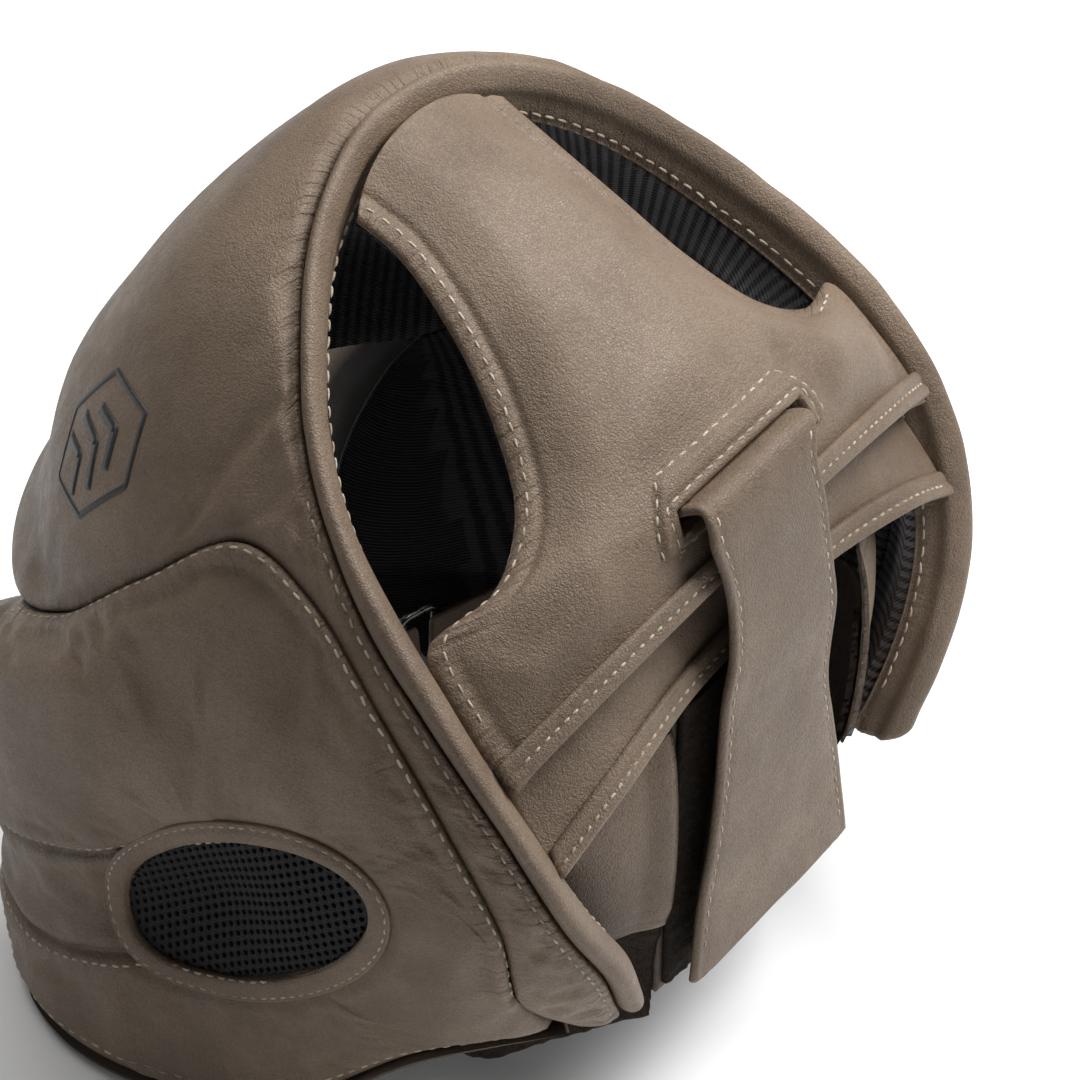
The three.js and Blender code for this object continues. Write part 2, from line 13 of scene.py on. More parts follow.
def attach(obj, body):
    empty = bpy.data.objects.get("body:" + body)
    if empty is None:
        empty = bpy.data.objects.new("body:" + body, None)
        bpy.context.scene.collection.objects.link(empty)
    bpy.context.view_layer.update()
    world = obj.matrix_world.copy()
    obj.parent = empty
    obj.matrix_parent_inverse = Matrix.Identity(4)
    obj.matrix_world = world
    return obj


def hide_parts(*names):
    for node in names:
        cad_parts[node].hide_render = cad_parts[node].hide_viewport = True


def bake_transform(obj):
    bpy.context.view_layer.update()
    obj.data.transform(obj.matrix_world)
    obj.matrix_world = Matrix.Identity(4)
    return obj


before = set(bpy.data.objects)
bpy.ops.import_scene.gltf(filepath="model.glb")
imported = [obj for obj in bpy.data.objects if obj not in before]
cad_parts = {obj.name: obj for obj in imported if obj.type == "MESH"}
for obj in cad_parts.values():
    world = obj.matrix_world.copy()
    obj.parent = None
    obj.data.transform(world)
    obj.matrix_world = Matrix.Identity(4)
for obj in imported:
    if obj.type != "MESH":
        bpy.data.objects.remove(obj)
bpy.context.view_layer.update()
rng = np.random.default_rng(7)

# ---- Dimensions shared with the CAD source, in millimetres ----
AXIS_Y = -6.0
BOX_MIDDLE_Y = -12.95
BELT_Z = 105.0
HALF_WIDTH = 97.5
FRONT_DEPTH = 95.0
REAR_DEPTH = 94.0
DOME_RISE = 128.0
FRONT_POWER = 2.2
REAR_POWERS = (2.2, 4.2)
DOME_POWER = 1.9
JAW_TAPER = 0.05
GAP = 0.3
SEAM_GAP = 1.2
LINING = 1.2
OUTER_LEVEL = 10.0
INNER_LEVEL = -14.0
RIM_INNER_LEVEL = -4.0
RIM_WIDTH = 8.0
EAR_CENTRE = (3.0, 80.0)
EAR_HALF = (45.0, 20.0)
EAR_TILT = math.radians(36)
EAR_SINK = 1.4
SIDE_FIRST, SIDE_LAST = 1, 9
OUTLINE_STEPS = 22
SIDE_INSET = 0.015
CHEEK_SWELL = 16.0
CHANNEL_HALF = 0.1
CHANNEL_DEPTH = 4.5

RIM = [
    [49, 80, 50], [68, 91, 80], [80, 87, 103], [86, 74, 130], [85, 52, 156], [78, 18, 189],
    [66, 3, 204], [50, -9, 218], [36, -17, 227], [24, -21, 232], [12, -24, 235], [0, -25, 236],
]
SEAM = [
    [66, 70, 55], [90, 72, 76], [96, 72, 104], [99, 58, 134], [97, 40, 155], [91, 16, 174],
    [88, -5, 179], [94, -30, 160], [93, -58, 134], [78, -84, 117], [42, -108, 123], [0, -118, 126],
]
BOTTOM = [
    [67, 69, 54], [80, 58, 51], [92, 42, 42], [99, 25, 26], [103, 8, 8],
    [104, -8, 0], [103, -28, 0], [100, -52, 0], [86, -88, 0],
]
CROWN_MIDDLE = [
    [0, -22.5, 235.5], [0, 0, 227], [0, 20, 217], [0, 37, 207], [0, 52, 198], [0, 63, 190],
    [0, 72, 181], [0, 75.5, 172], [0, 78.5, 163],
]
CROWN_EDGE = [
    [29, -15.8, 228.2], [29, -4, 223], [33, 14, 210], [39, 29, 196], [49, 42, 182], [64, 46, 172],
    [82, 42, 167], [86.5, 56, 152], [86.5, 69, 139],
]
STRAP_PATH = [
    [2, 76.4, 183], [4.8, 80.4, 176], [3.6, 82.4, 167], [2.4, 83.6, 156], [1.6, 84.4, 142],
    [2.2, 84.4, 128], [2.8, 84, 110], [1.8, 83.6, 90], [0.6, 83.3, 68], [0, 83, 43],
]
STRAP_HALF_WIDTHS = [22.4, 21, 20.4, 20, 21.2, 23.8, 23, 26, 30.4, 34]


# ---- Small numeric helpers ----
def smooth(a, b, x):
    t = np.clip((np.asarray(x, float) - a) / (b - a), 0, 1)
    return t * t * (3 - 2 * t)


def hump(x, centre, half):
    return np.exp(-(((x - centre) / half) ** 2))


def unit(v):
    return v / np.maximum(np.linalg.norm(v, axis=-1, keepdims=True), 1e-12)


def arc_length(points):
    steps = np.linalg.norm(np.diff(points, axis=0), axis=1)
    return np.concatenate([[0], np.cumsum(steps)])


def resample(points, step, closed=False):
    """Points spaced evenly along a polyline, about step apart."""
    points = np.asarray(points, float)
    if closed:
        points = np.vstack([points, points[:1]])
    s = arc_length(points)
    n = max(2, int(round(s[-1] / step)) + 1)
    at = np.linspace(0, s[-1], n)
    out = np.stack([np.interp(at, s, points[:, k]) for k in range(points.shape[1])], 1)
    return out[:-1] if closed else out


class Curve:
    """A centripetal Catmull-Rom curve through points, read at shares from 0 to 1."""

    def __init__(self, points):
        self.p = np.array(points, float)

    def at(self, t):
        p = self.p
        s = np.clip(np.asarray(t, float), 0, 1) * (len(p) - 1)
        i = np.minimum(s.astype(int), len(p) - 2)
        w = (s - i)[..., None]
        ext = np.vstack([2 * p[0] - p[1], p, 2 * p[-1] - p[-2]])
        p0, p1, p2, p3 = ext[i], ext[i + 1], ext[i + 2], ext[i + 3]

        def span(a, b):
            return np.maximum(((a - b) ** 2).sum(-1) ** 0.25, 1e-4)[..., None]

        d0, d1, d2 = span(p0, p1), span(p1, p2), span(p2, p3)
        t1 = ((p1 - p0) / d0 - (p2 - p0) / (d0 + d1) + (p2 - p1) / d1) * d1
        t2 = ((p2 - p1) / d1 - (p3 - p1) / (d1 + d2) + (p3 - p2) / d2) * d1
        c2 = -3 * p1 + 3 * p2 - 2 * t1 - t2
        c3 = 2 * p1 - 2 * p2 + t1 + t2
        return p1 + t1 * w + c2 * w**2 + c3 * w**3


def both_sides(points):
    return points + [[-p[0], p[1], p[2]] for p in points[:-1]][::-1]


rim_curve = Curve(both_sides(RIM))
seam_curve = Curve(both_sides(SEAM))
bottom_curve = Curve(BOTTOM)


def value_noise(p, seed=0):
    """Smooth noise from -1 to 1 at points p (..., 3), with a lattice step of 1."""
    p = np.asarray(p, float)
    cell = np.floor(p).astype(np.int64)
    f = p - cell
    f = f * f * (3 - 2 * f)
    total = 0
    for corner in np.ndindex(2, 2, 2):
        c = cell + corner
        h = (c[..., 0] * 374761393 + c[..., 1] * 668265263 + c[..., 2] * 2147483647 + seed * 974711) & 0xFFFFFFFF
        h = ((h ^ (h >> 13)) * 1274126177) & 0xFFFFFFFF
        h = (h ^ (h >> 16)) & 0xFFFFFF
        weight = 1
        for k in range(3):
            weight = weight * (f[..., k] if corner[k] else 1 - f[..., k])
        total = total + weight * (h / 8388607.5 - 1)
    return total


# ---- Reference surface ----
def radius_along(d, z):
    front = d[..., 1] < 0
    rear_power = REAR_POWERS[0] + (REAR_POWERS[1] - REAR_POWERS[0]) * smooth(45, 105, z)
    power = np.where(front, FRONT_POWER, rear_power)
    below = np.maximum(0, (BELT_Z - z) / BELT_Z)
    taper = 1 - JAW_TAPER * below * below
    half_depth = np.where(front, FRONT_DEPTH, REAR_DEPTH) * taper
    plan = np.abs(d[..., 0] / (HALF_WIDTH * taper)) ** power + np.abs(d[..., 1] / half_depth) ** power
    return (plan ** (DOME_POWER / power) + np.abs(d[..., 2] / DOME_RISE) ** DOME_POWER) ** (-1 / DOME_POWER)


def centre_of(p):
    z = p[..., 2]
    return np.stack([0 * z, 0 * z + AXIS_Y, np.minimum(z, BELT_Z)], -1)


def at_level(p, level):
    centre = centre_of(p)
    d = unit(p - centre)
    return centre + d * (radius_along(d, p[..., 2]) + level)[..., None]


def between(a, b, v, margin_a, margin_b):
    length = np.linalg.norm(b - a, axis=-1)
    share = (margin_a + v * (length - margin_a - margin_b)) / length
    return a + (b - a) * share[..., None]


def border_place(u, v, margin_rim=RIM_WIDTH, margin_seam=SEAM_GAP / 2):
    corner = 1 - smooth(0, 3 / OUTLINE_STEPS, np.minimum(u, 1 - u))
    return between(seam_curve.at(u), rim_curve.at(u), v, margin_seam + 1.5 * corner, margin_rim)


def side_top(u):
    return seam_curve.at((SIDE_FIRST + (SIDE_LAST - SIDE_FIRST) * u) / OUTLINE_STEPS)


def side_place(u, v, margin_bottom=2.3):
    u = np.maximum(u, SIDE_INSET)
    p = between(side_top(u), bottom_curve.at(u), v, SEAM_GAP / 2, margin_bottom)
    bow = u**4 * np.sin(math.pi * v)
    p = p + np.stack([-26 * bow, -27 * bow, 0 * bow], -1)
    p[..., 2] = np.maximum(p[..., 2], 0)
    return p


def outer_level(p):
    front = 1 - smooth(-95, -40, p[..., 1])
    z = p[..., 2]
    brow = 5 * hump(z, 128, 22) - 6.5 * hump(z, 138, 13) - 9 * hump(z, 194, 28) - 22 * hump(z, 211, 12)
    return OUTER_LEVEL + front * brow


def rear_thinning(p):
    return 8 * smooth(40, 80, p[..., 1])


def border_inner(p, v):
    return INNER_LEVEL + np.maximum(rear_thinning(p), (RIM_INNER_LEVEL - INNER_LEVEL) * v * v)


def channel_middle(u):
    return 0.57 + 0.15 * smooth(0.5, 1, u)


def relief(u, v):
    """How far the side pad's face stands over its level: the cheek's swell, less the channel forward of the ear."""
    swell = CHEEK_SWELL * smooth(0.6, 0.95, u) * smooth(0, 0.22, v)
    return swell - CHANNEL_DEPTH * smooth(0.45, 0.6, u) * hump(v, channel_middle(u), CHANNEL_HALF)


def side_surface(u, v, lift=0.0):
    """The side pad's outer face."""
    p = side_place(u, v)
    return at_level(p, outer_level(p) + relief(u, v) + lift)


def tuck(d, depth, width):
    """How far a stuffed face turns down at distance d from its edge: a quarter of an ellipse."""
    t = 1 - np.clip(d / width, 0, 1)
    return -depth * (1 - np.sqrt(np.maximum(0, 1 - t * t)))


# ---- Meshes ----
def put_in_scene(name, data):
    obj = bpy.data.objects.new(name, data)
    bpy.context.scene.collection.objects.link(obj)
    return obj


def mesh_of(name, metres, faces, closed=True):
    """A mesh, with its faces turned outwards where it is closed."""
    mesh = bpy.data.meshes.new(name)
    mesh.from_pydata(metres.tolist(), [], faces)
    mesh.validate()
    if closed:
        bm = bmesh.new()
        bm.from_mesh(mesh)
        bmesh.ops.recalc_face_normals(bm, faces=bm.faces)
        bm.to_mesh(mesh)
        bm.free()
    return mesh


def make(name, points, faces, material, slot, body="shell", stands_for=(), closed=True):
    """A piece from points in head millimetres. With body None it rides on nothing yet."""
    metres = (np.asarray(points, float).reshape(-1, 3) - (0, BOX_MIDDLE_Y, 0)) / 1000
    mesh = mesh_of(name, metres, faces, closed)
    mesh.shade_smooth()
    mesh.materials.append(material)
    obj = put_in_scene(name, mesh)
    if body:
        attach(obj, body)
    if stands_for:
        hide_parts(*stands_for)
    return obj


def shares_grid(u_span, u_count, v_span, v_count):
    """Grids of u and of v, with u rising down the rows and v along the columns."""
    return np.meshgrid(np.linspace(*u_span, u_count), np.linspace(*v_span, v_count), indexing="ij")


def grid_faces(rows, columns, wrap_rows=False, wrap_columns=False, first=0):
    i = np.arange(rows if wrap_rows else rows - 1)
    j = np.arange(columns if wrap_columns else columns - 1)
    i, j = np.meshgrid(i, j, indexing="ij")
    i1, j1 = (i + 1) % rows, (j + 1) % columns
    quads = np.stack([i * columns + j, i1 * columns + j, i1 * columns + j1, i * columns + j1], -1) + first
    return quads.reshape(-1, 4).tolist()


def tube(rings):
    """Points and faces of a tube through closed rings (n, k, 3), with a fan at each end."""
    n, k = rings.shape[:2]
    points = rings.reshape(-1, 3)
    faces = grid_faces(n, k, wrap_columns=True)
    ends = np.stack([rings[0].mean(0), rings[-1].mean(0)])
    points = np.vstack([points, ends])
    a, b = n * k, n * k + 1
    for j in range(k):
        j1 = (j + 1) % k
        faces.append([a, j, j1])
        faces.append([b, (n - 1) * k + j1, (n - 1) * k + j])
    return points, faces


def pinch(rings, reach):
    """Rounds the two ends of a tube, over reach mm of its length."""
    rings = rings.copy()
    middles = rings.mean(1)
    s = arc_length(middles)
    for d, i in zip(np.minimum(s, s[-1] - s), range(len(rings))):
        if d < reach:
            t = 1 - d / reach
            share = max(0.03, math.sqrt(max(0, 1 - t * t)))
            rings[i] = middles[i] + (rings[i] - middles[i]) * share
    return rings


def cubic(field, at):
    """field (n, ...) read at fractional places along its first axis, smoothly."""
    n = len(field)
    i = np.clip(np.floor(at).astype(int), 0, n - 2)
    w = (at - i).reshape((-1,) + (1,) * (field.ndim - 1))
    p0, p1 = field[np.maximum(i - 1, 0)], field[i]
    p2, p3 = field[i + 1], field[np.minimum(i + 2, n - 1)]
    return 0.5 * (
        2 * p1 + (p2 - p0) * w + (2 * p0 - 5 * p1 + 4 * p2 - p3) * w**2 + (3 * p1 - p0 - 3 * p2 + p3) * w**3
    )


CLOTH = {
    "quality": 6, "mass": 0.3, "tension_stiffness": 15, "compression_stiffness": 15, "bending_stiffness": 0.4,
    "use_pressure": True, "uniform_pressure_force": 3.0, "shrink_min": -0.012, "vertex_group_mass": "held",
}
CLOTH_FRAMES = 20
SWELL_CAP = 2.6


def inflate(rings, free, wrap):
    """Cloth simulation of a closed padded shell (n, k, 3), whose first columns are its outer face. The face swells
    where free (n, columns) is true. Gives how far each of its points moves, capped, in mm."""
    n, k = rings.shape[:2]
    columns = free.shape[1]
    points, faces = (rings.reshape(-1, 3), grid_faces(n, k, True, True)) if wrap else tube(rings)
    held = np.ones((n, k), bool)
    held[:, :columns] = ~free
    held = np.concatenate([held.ravel(), np.ones(len(points) - n * k, bool)])
    mesh = mesh_of("swell", points / 1000, faces)
    obj = put_in_scene("swell", mesh)
    obj.vertex_groups.new(name="held").add(np.flatnonzero(held).tolist(), 1.0, "REPLACE")
    cloth = obj.modifiers.new("cloth", "CLOTH")
    for key, value in CLOTH.items():
        setattr(cloth.settings, key, value)
    cloth.settings.effector_weights.gravity = 0
    cloth.point_cache.frame_start, cloth.point_cache.frame_end = 1, CLOTH_FRAMES
    for f in range(1, CLOTH_FRAMES + 1):
        bpy.context.scene.frame_set(f)
    evaluated = obj.evaluated_get(bpy.context.evaluated_depsgraph_get())
    co = np.zeros(len(points) * 3)
    evaluated.data.vertices.foreach_get("co", co)
    bpy.data.objects.remove(obj)
    bpy.data.meshes.remove(mesh)
    bpy.context.scene.frame_set(1)
    moved = (co.reshape(-1, 3) * 1000 - points)[: n * k].reshape(n, k, 3)[:, :columns]
    length = np.linalg.norm(moved, axis=-1, keepdims=True)
    return moved * np.minimum(1, SWELL_CAP / np.maximum(length, 1e-9))


def tree_of(obj):
    """A search tree over an object's faces, in head millimetres."""
    co = np.zeros(len(obj.data.vertices) * 3)
    obj.data.vertices.foreach_get("co", co)
    co = co.reshape(-1, 3) * 1000 + (0, BOX_MIDDLE_Y, 0)
    return BVHTree.FromPolygons(co.tolist(), [list(p.vertices) for p in obj.data.polygons])


def drop(points, tree, reach=14.0):
    """Each point moved on to the surface along the way out of the head, with the surface's normal there."""
    points = np.asarray(points, float)
    out = unit(points - centre_of(points))
    places, normals = [], []
    for p, d in zip(points, out):
        hit, normal, _, _ = tree.ray_cast(Vector(p + d * reach), Vector(-d), 2 * reach)
        if hit is None:
            hit, normal, _, _ = tree.find_nearest(Vector(p))
        normal = np.array(normal)
        if normal @ d < 0:
            normal = -normal
        places.append(np.array(hit))
        normals.append(normal)
    return np.array(places), np.array(normals)


# ---- Materials ----
class Nodes:
    """A short way to write a material's nodes."""

    def __init__(self, name):
        self.material = bpy.data.materials.new(name)
        self.material.use_nodes = True
        self.tree = self.material.node_tree
        self.shader = self.tree.nodes["Principled BSDF"]
        self.where = self.add("ShaderNodeTexCoord").outputs["Object"]

    def add(self, kind, inputs=(), **settings):
        node = self.tree.nodes.new(kind)
        for key, value in settings.items():
            setattr(node, key, value)
        for key, value in dict(inputs).items():
            self.put(node.inputs[key], value)
        return node

    def put(self, socket, value):
        if isinstance(value, bpy.types.NodeSocket):
            self.tree.links.new(value, socket)
        else:
            socket.default_value = value

    def noise(self, scale, detail=3.0, roughness=0.55, vector=None, distortion=0.0):
        inputs = {"Vector": vector or self.where, "Scale": scale, "Detail": detail}
        inputs |= {"Roughness": roughness, "Distortion": distortion}
        return self.add("ShaderNodeTexNoise", inputs).outputs["Fac"]

    def spread(self, value, low, high, to_low=0.0, to_high=1.0):
        inputs = {"Value": value, "From Min": low, "From Max": high, "To Min": to_low, "To Max": to_high}
        return self.add("ShaderNodeMapRange", inputs, interpolation_type="SMOOTHSTEP").outputs["Result"]

    def sum(self, operation, a, b):
        return self.add("ShaderNodeMath", {0: a, 1: b}, operation=operation).outputs["Value"]

    def plus(self, a, b, share):
        return self.sum("ADD", a, self.sum("MULTIPLY", b, share))

    def vector(self, operation, inputs):
        return self.add("ShaderNodeVectorMath", inputs, operation=operation).outputs["Vector"]

    def seam(self):
        """The seam attribute, then its numbers: along the seam, away from it, and how much painted shade."""
        vector = self.add("ShaderNodeAttribute", attribute_name="seam").outputs["Vector"]
        return vector, *self.add("ShaderNodeSeparateXYZ", {"Vector": vector}).outputs

    def mix(self, share, a, b, blend="MIX"):
        node = self.add("ShaderNodeMix", data_type="RGBA", blend_type=blend)
        self.put(node.inputs[0], share)
        self.put(node.inputs[6], a)
        self.put(node.inputs[7], b)
        return node.outputs[2]

    def bump(self, height, distance, strength=1.0, under=None):
        inputs = {"Height": height, "Distance": distance, "Strength": strength}
        if under is not None:
            inputs["Normal"] = under
        return self.add("ShaderNodeBump", inputs).outputs["Normal"]

    def set(self, **values):
        for key, value in values.items():
            self.put(self.shader.inputs[key.replace("_", " ")], value)
        return self.material


def colour(r, g, b):
    return (r, g, b, 1.0)


def leather_material(name, light, dark, roughness=0.46, grain=1500.0, relief=0.00022, wrinkles=0.0):
    """Pebbled, waxed leather: pores and creases between pebbles, cloudy colour, drawn wrinkles beside seams, and
    painted shade, near-black, on inside faces.
    """
    n = Nodes(name)
    warp = n.add("ShaderNodeTexNoise", {"Vector": n.where, "Scale": 420.0, "Detail": 2.0}).outputs["Color"]
    bent = n.vector("ADD", {0: n.where, 1: n.vector("SCALE", {0: warp, "Scale": 0.0011})})
    pebble = n.add("ShaderNodeTexVoronoi", {"Vector": bent, "Scale": grain}, feature="SMOOTH_F1").outputs["Distance"]
    crease = n.add(
        "ShaderNodeTexVoronoi", {"Vector": bent, "Scale": grain * 0.9}, feature="DISTANCE_TO_EDGE"
    ).outputs["Distance"]
    crease = n.spread(crease, 0.0, 0.22)
    height = n.sum("SUBTRACT", n.sum("MULTIPLY", crease, 0.4), n.sum("MULTIPLY", pebble, 0.9))
    height = n.plus(height, n.noise(5200.0, 2.0), 0.22)
    cloud = n.noise(26.0, 4.0, 0.6)
    mottle = n.noise(170.0, 4.0, 0.65)
    tone = n.mix(n.spread(cloud, 0.32, 0.68), dark, light)
    tone = n.mix(n.spread(mottle, 0.35, 0.7, 0.0, 0.3), tone, light)
    pit = n.sum("MULTIPLY", n.spread(height, -0.35, 0.2, 1.0, 0.0), 0.32)
    tone = n.mix(pit, tone, colour(*(0.45 * c for c in dark[:3])))
    edge = n.add("ShaderNodeNewGeometry").outputs["Pointiness"]
    worn = n.sum("MULTIPLY", n.spread(edge, 0.515, 0.6), n.spread(mottle, 0.35, 0.65, 0.15, 0.6))
    tone = n.mix(worn, tone, colour(*(min(1.0, 1.55 * c) for c in light[:3])))
    seam, _, across, inner = n.seam()
    # Painted shade: where the seam attribute's third number (inner) is up, the colour goes near-black and the roughness
    # rises, standing in for the shade on the pads' walls and inner faces.
    tone = n.mix(inner, tone, n.mix(mottle, colour(0.010, 0.008, 0.007), colour(0.022, 0.017, 0.014)))
    rough = n.spread(mottle, 0.3, 0.7, roughness - 0.07, roughness + 0.09)
    rough = n.plus(n.plus(rough, pit, 0.25), inner, 0.45)
    normal = n.bump(n.noise(330.0, 3.0, 0.5), 0.0005, 0.35)
    if wrinkles:
        stretched = n.vector("MULTIPLY", {0: seam, 1: (0.30, 0.055, 0.0)})
        folds = n.noise(1.0, 2.5, 0.5, vector=stretched, distortion=0.6)
        folds = n.sum("MULTIPLY", n.spread(folds, 0.38, 0.62), n.spread(across, 1.0, 11.0, 1.0, 0.0))
        normal = n.bump(folds, wrinkles, 0.8, normal)
    normal = n.bump(height, relief, 0.85, normal)
    n.set(Base_Color=tone, Roughness=rough, Normal=normal, Specular_IOR_Level=0.36)
    return n.set(Coat_Weight=0.05, Coat_Roughness=0.38)


def knit_material(name, light, dark):
    """Ribbed knit: ribs across the seam attribute's first number, with slanted stitches on each, and painted shade,
    near-black, where its third number is up.
    """
    n = Nodes(name)
    _, along, across, inner = n.seam()
    rib = n.spread(n.sum("SINE", n.sum("MULTIPLY", along, 2.3), 0.0), -0.75, 0.75)
    yarn = n.sum("SINE", n.plus(n.sum("MULTIPLY", across, 6.5), along, 4.2), 0.0)
    height = n.plus(n.plus(rib, yarn, 0.32), n.noise(2600.0, 2.0), 0.35)
    ridge = n.spread(height, -0.2, 1.3)
    tone = n.mix(n.spread(n.noise(60.0, 3.0), 0.35, 0.7, 0.0, 0.25), n.mix(ridge, dark, light), light)
    # Painted shade: the seam attribute's third number (inner) turns the knit near-black, standing in for the shade
    # inside the headgear.
    tone = n.mix(inner, tone, n.mix(ridge, colour(0.004, 0.0035, 0.003), dark))
    normal = n.bump(height, 0.0005, 0.8)
    n.set(Base_Color=tone, Roughness=n.spread(n.noise(900.0), 0.3, 0.7, 0.82, 0.95), Normal=normal)
    return n.set(Sheen_Weight=0.08, Sheen_Roughness=0.45, Specular_IOR_Level=0.15)


def pile_material(name, light, dark, scale=2600.0, relief=0.0009):
    """Brushed loop pile or suede: tangled fibres that stand up."""
    n = Nodes(name)
    tangle = n.noise(scale, 4.0, 0.7, distortion=1.4)
    clumps = n.noise(scale * 0.16, 3.0, 0.6)
    height = n.plus(tangle, clumps, 0.8)
    tone = n.mix(n.spread(tangle, 0.4, 0.66), dark, light)
    tone = n.mix(n.spread(clumps, 0.35, 0.7, 0.0, 0.35), tone, dark)
    rough = n.spread(tangle, 0.3, 0.7, 0.85, 0.98)
    n.set(Base_Color=tone, Roughness=rough, Normal=n.bump(height, relief, 0.9))
    return n.set(Sheen_Weight=0.06, Sheen_Roughness=0.4, Specular_IOR_Level=0.1)


def thread_material(name, light, dark):
    """Twisted sewing thread."""
    n = Nodes(name)
    twist = n.add(
        "ShaderNodeTexWave", {"Vector": n.where, "Scale": 900.0, "Distortion": 1.5, "Detail": 1.0},
        bands_direction="DIAGONAL",
    ).outputs["Fac"]
    soil = n.noise(90.0, 3.0)
    tone = n.mix(n.spread(soil, 0.35, 0.65), light, dark)
    tone = n.mix(n.sum("MULTIPLY", twist, 0.3), tone, dark)
    rough = n.spread(soil, 0.3, 0.7, 0.55, 0.75)
    n.set(Base_Color=tone, Roughness=rough, Normal=n.bump(twist, 0.00012, 0.7))
    return n.set(Sheen_Weight=0.15, Sheen_Roughness=0.4)


def net_material(name, light, dark):
    """Black polyester spacer mesh: fine filament yarn with small glints."""
    n = Nodes(name)
    yarn = n.noise(3800.0, 3.0, 0.6)
    tone = n.mix(n.spread(yarn, 0.4, 0.65), dark, light)
    rough = n.spread(yarn, 0.3, 0.7, 0.7, 0.48)
    return n.set(Base_Color=tone, Roughness=rough, Normal=n.bump(yarn, 0.00012, 0.8), Specular_IOR_Level=0.22)


def steel_material(name):
    n = Nodes(name)
    brushed = n.noise(700.0, 4.0, 0.6)
    tone = n.mix(n.spread(brushed, 0.35, 0.65), colour(0.15, 0.145, 0.135), colour(0.24, 0.235, 0.22))
    rough = n.spread(brushed, 0.3, 0.7, 0.24, 0.4)
    return n.set(Base_Color=tone, Roughness=rough, Metallic=1.0, Normal=n.bump(brushed, 0.00004, 0.5))


def ink_material(name):
    n = Nodes(name)
    wear = n.noise(1400.0, 3.0, 0.6)
    tone = n.mix(n.spread(wear, 0.42, 0.7), colour(0.012, 0.013, 0.015), colour(0.04, 0.038, 0.036))
    rough = n.spread(wear, 0.3, 0.7, 0.42, 0.6)
    return n.set(Base_Color=tone, Roughness=rough, Normal=n.bump(wear, 0.00008, 0.6))


TAUPE_LIGHT = colour(0.205, 0.148, 0.103)
TAUPE_DARK = colour(0.128, 0.088, 0.058)
leather = leather_material("leather", TAUPE_LIGHT, TAUPE_DARK, wrinkles=0.0005)
strap_leather = leather_material("strap_leather", TAUPE_LIGHT, TAUPE_DARK)
dark_leather = leather_material("dark_leather", colour(0.075, 0.052, 0.036), colour(0.045, 0.03, 0.021), 0.6)
knit = knit_material("ribbed_knit", colour(0.31, 0.30, 0.315), colour(0.045, 0.043, 0.046))
loop_pile = pile_material("loop_pile", colour(0.090, 0.056, 0.034), colour(0.010, 0.006, 0.004), 2200.0, 0.0014)
hook_tape = pile_material("hook_tape", colour(0.04, 0.036, 0.032), colour(0.010, 0.009, 0.008), 1700.0, 0.0006)
air_mesh = net_material("air_mesh", colour(0.006, 0.006, 0.0065), colour(0.0016, 0.0016, 0.0018))
mesh_back = pile_material("mesh_back", colour(0.006, 0.006, 0.006), colour(0.002, 0.002, 0.002), 1400.0, 0.0004)
thread = thread_material("thread", colour(0.50, 0.43, 0.33), colour(0.30, 0.24, 0.175))
steel = steel_material("brushed_steel")
ink = ink_material("printed_mark")


FAR = 60.0  # mm from a seam, where its wrinkles have long ended


def seam_attribute(obj, along, across, dark=0.0, faces=1):
    """Gives every point its distance along the nearest seam and away from it, in mm, for the materials, and how
    much painted shade darkens it, from 0 to 1. A slab whose two faces have the same figures has faces=2."""
    figures = np.stack(np.broadcast_arrays(along, across, dark), -1).reshape(-1, 3)
    data = np.zeros((len(obj.data.vertices), 3), np.float32)
    data[: faces * len(figures)] = np.tile(figures, (faces, 1))
    attribute = obj.data.attributes.new("seam", "FLOAT_VECTOR", "POINT")
    attribute.data.foreach_set("vector", data.ravel())


def pad_attribute(obj, rings, along, across, painted_shade_from):
    """The seam attribute of a closed pad, whose rings start with its outer face and get painted shade, near-black, from
    a column on.
    """
    figures = np.zeros(rings.shape)
    figures[..., 1] = FAR
    figures[:, : along.shape[1]] = np.stack([along, across, 0 * across], -1)
    figures[:, painted_shade_from:, 2] = 1.0
    seam_attribute(obj, *np.moveaxis(figures, -1, 0))


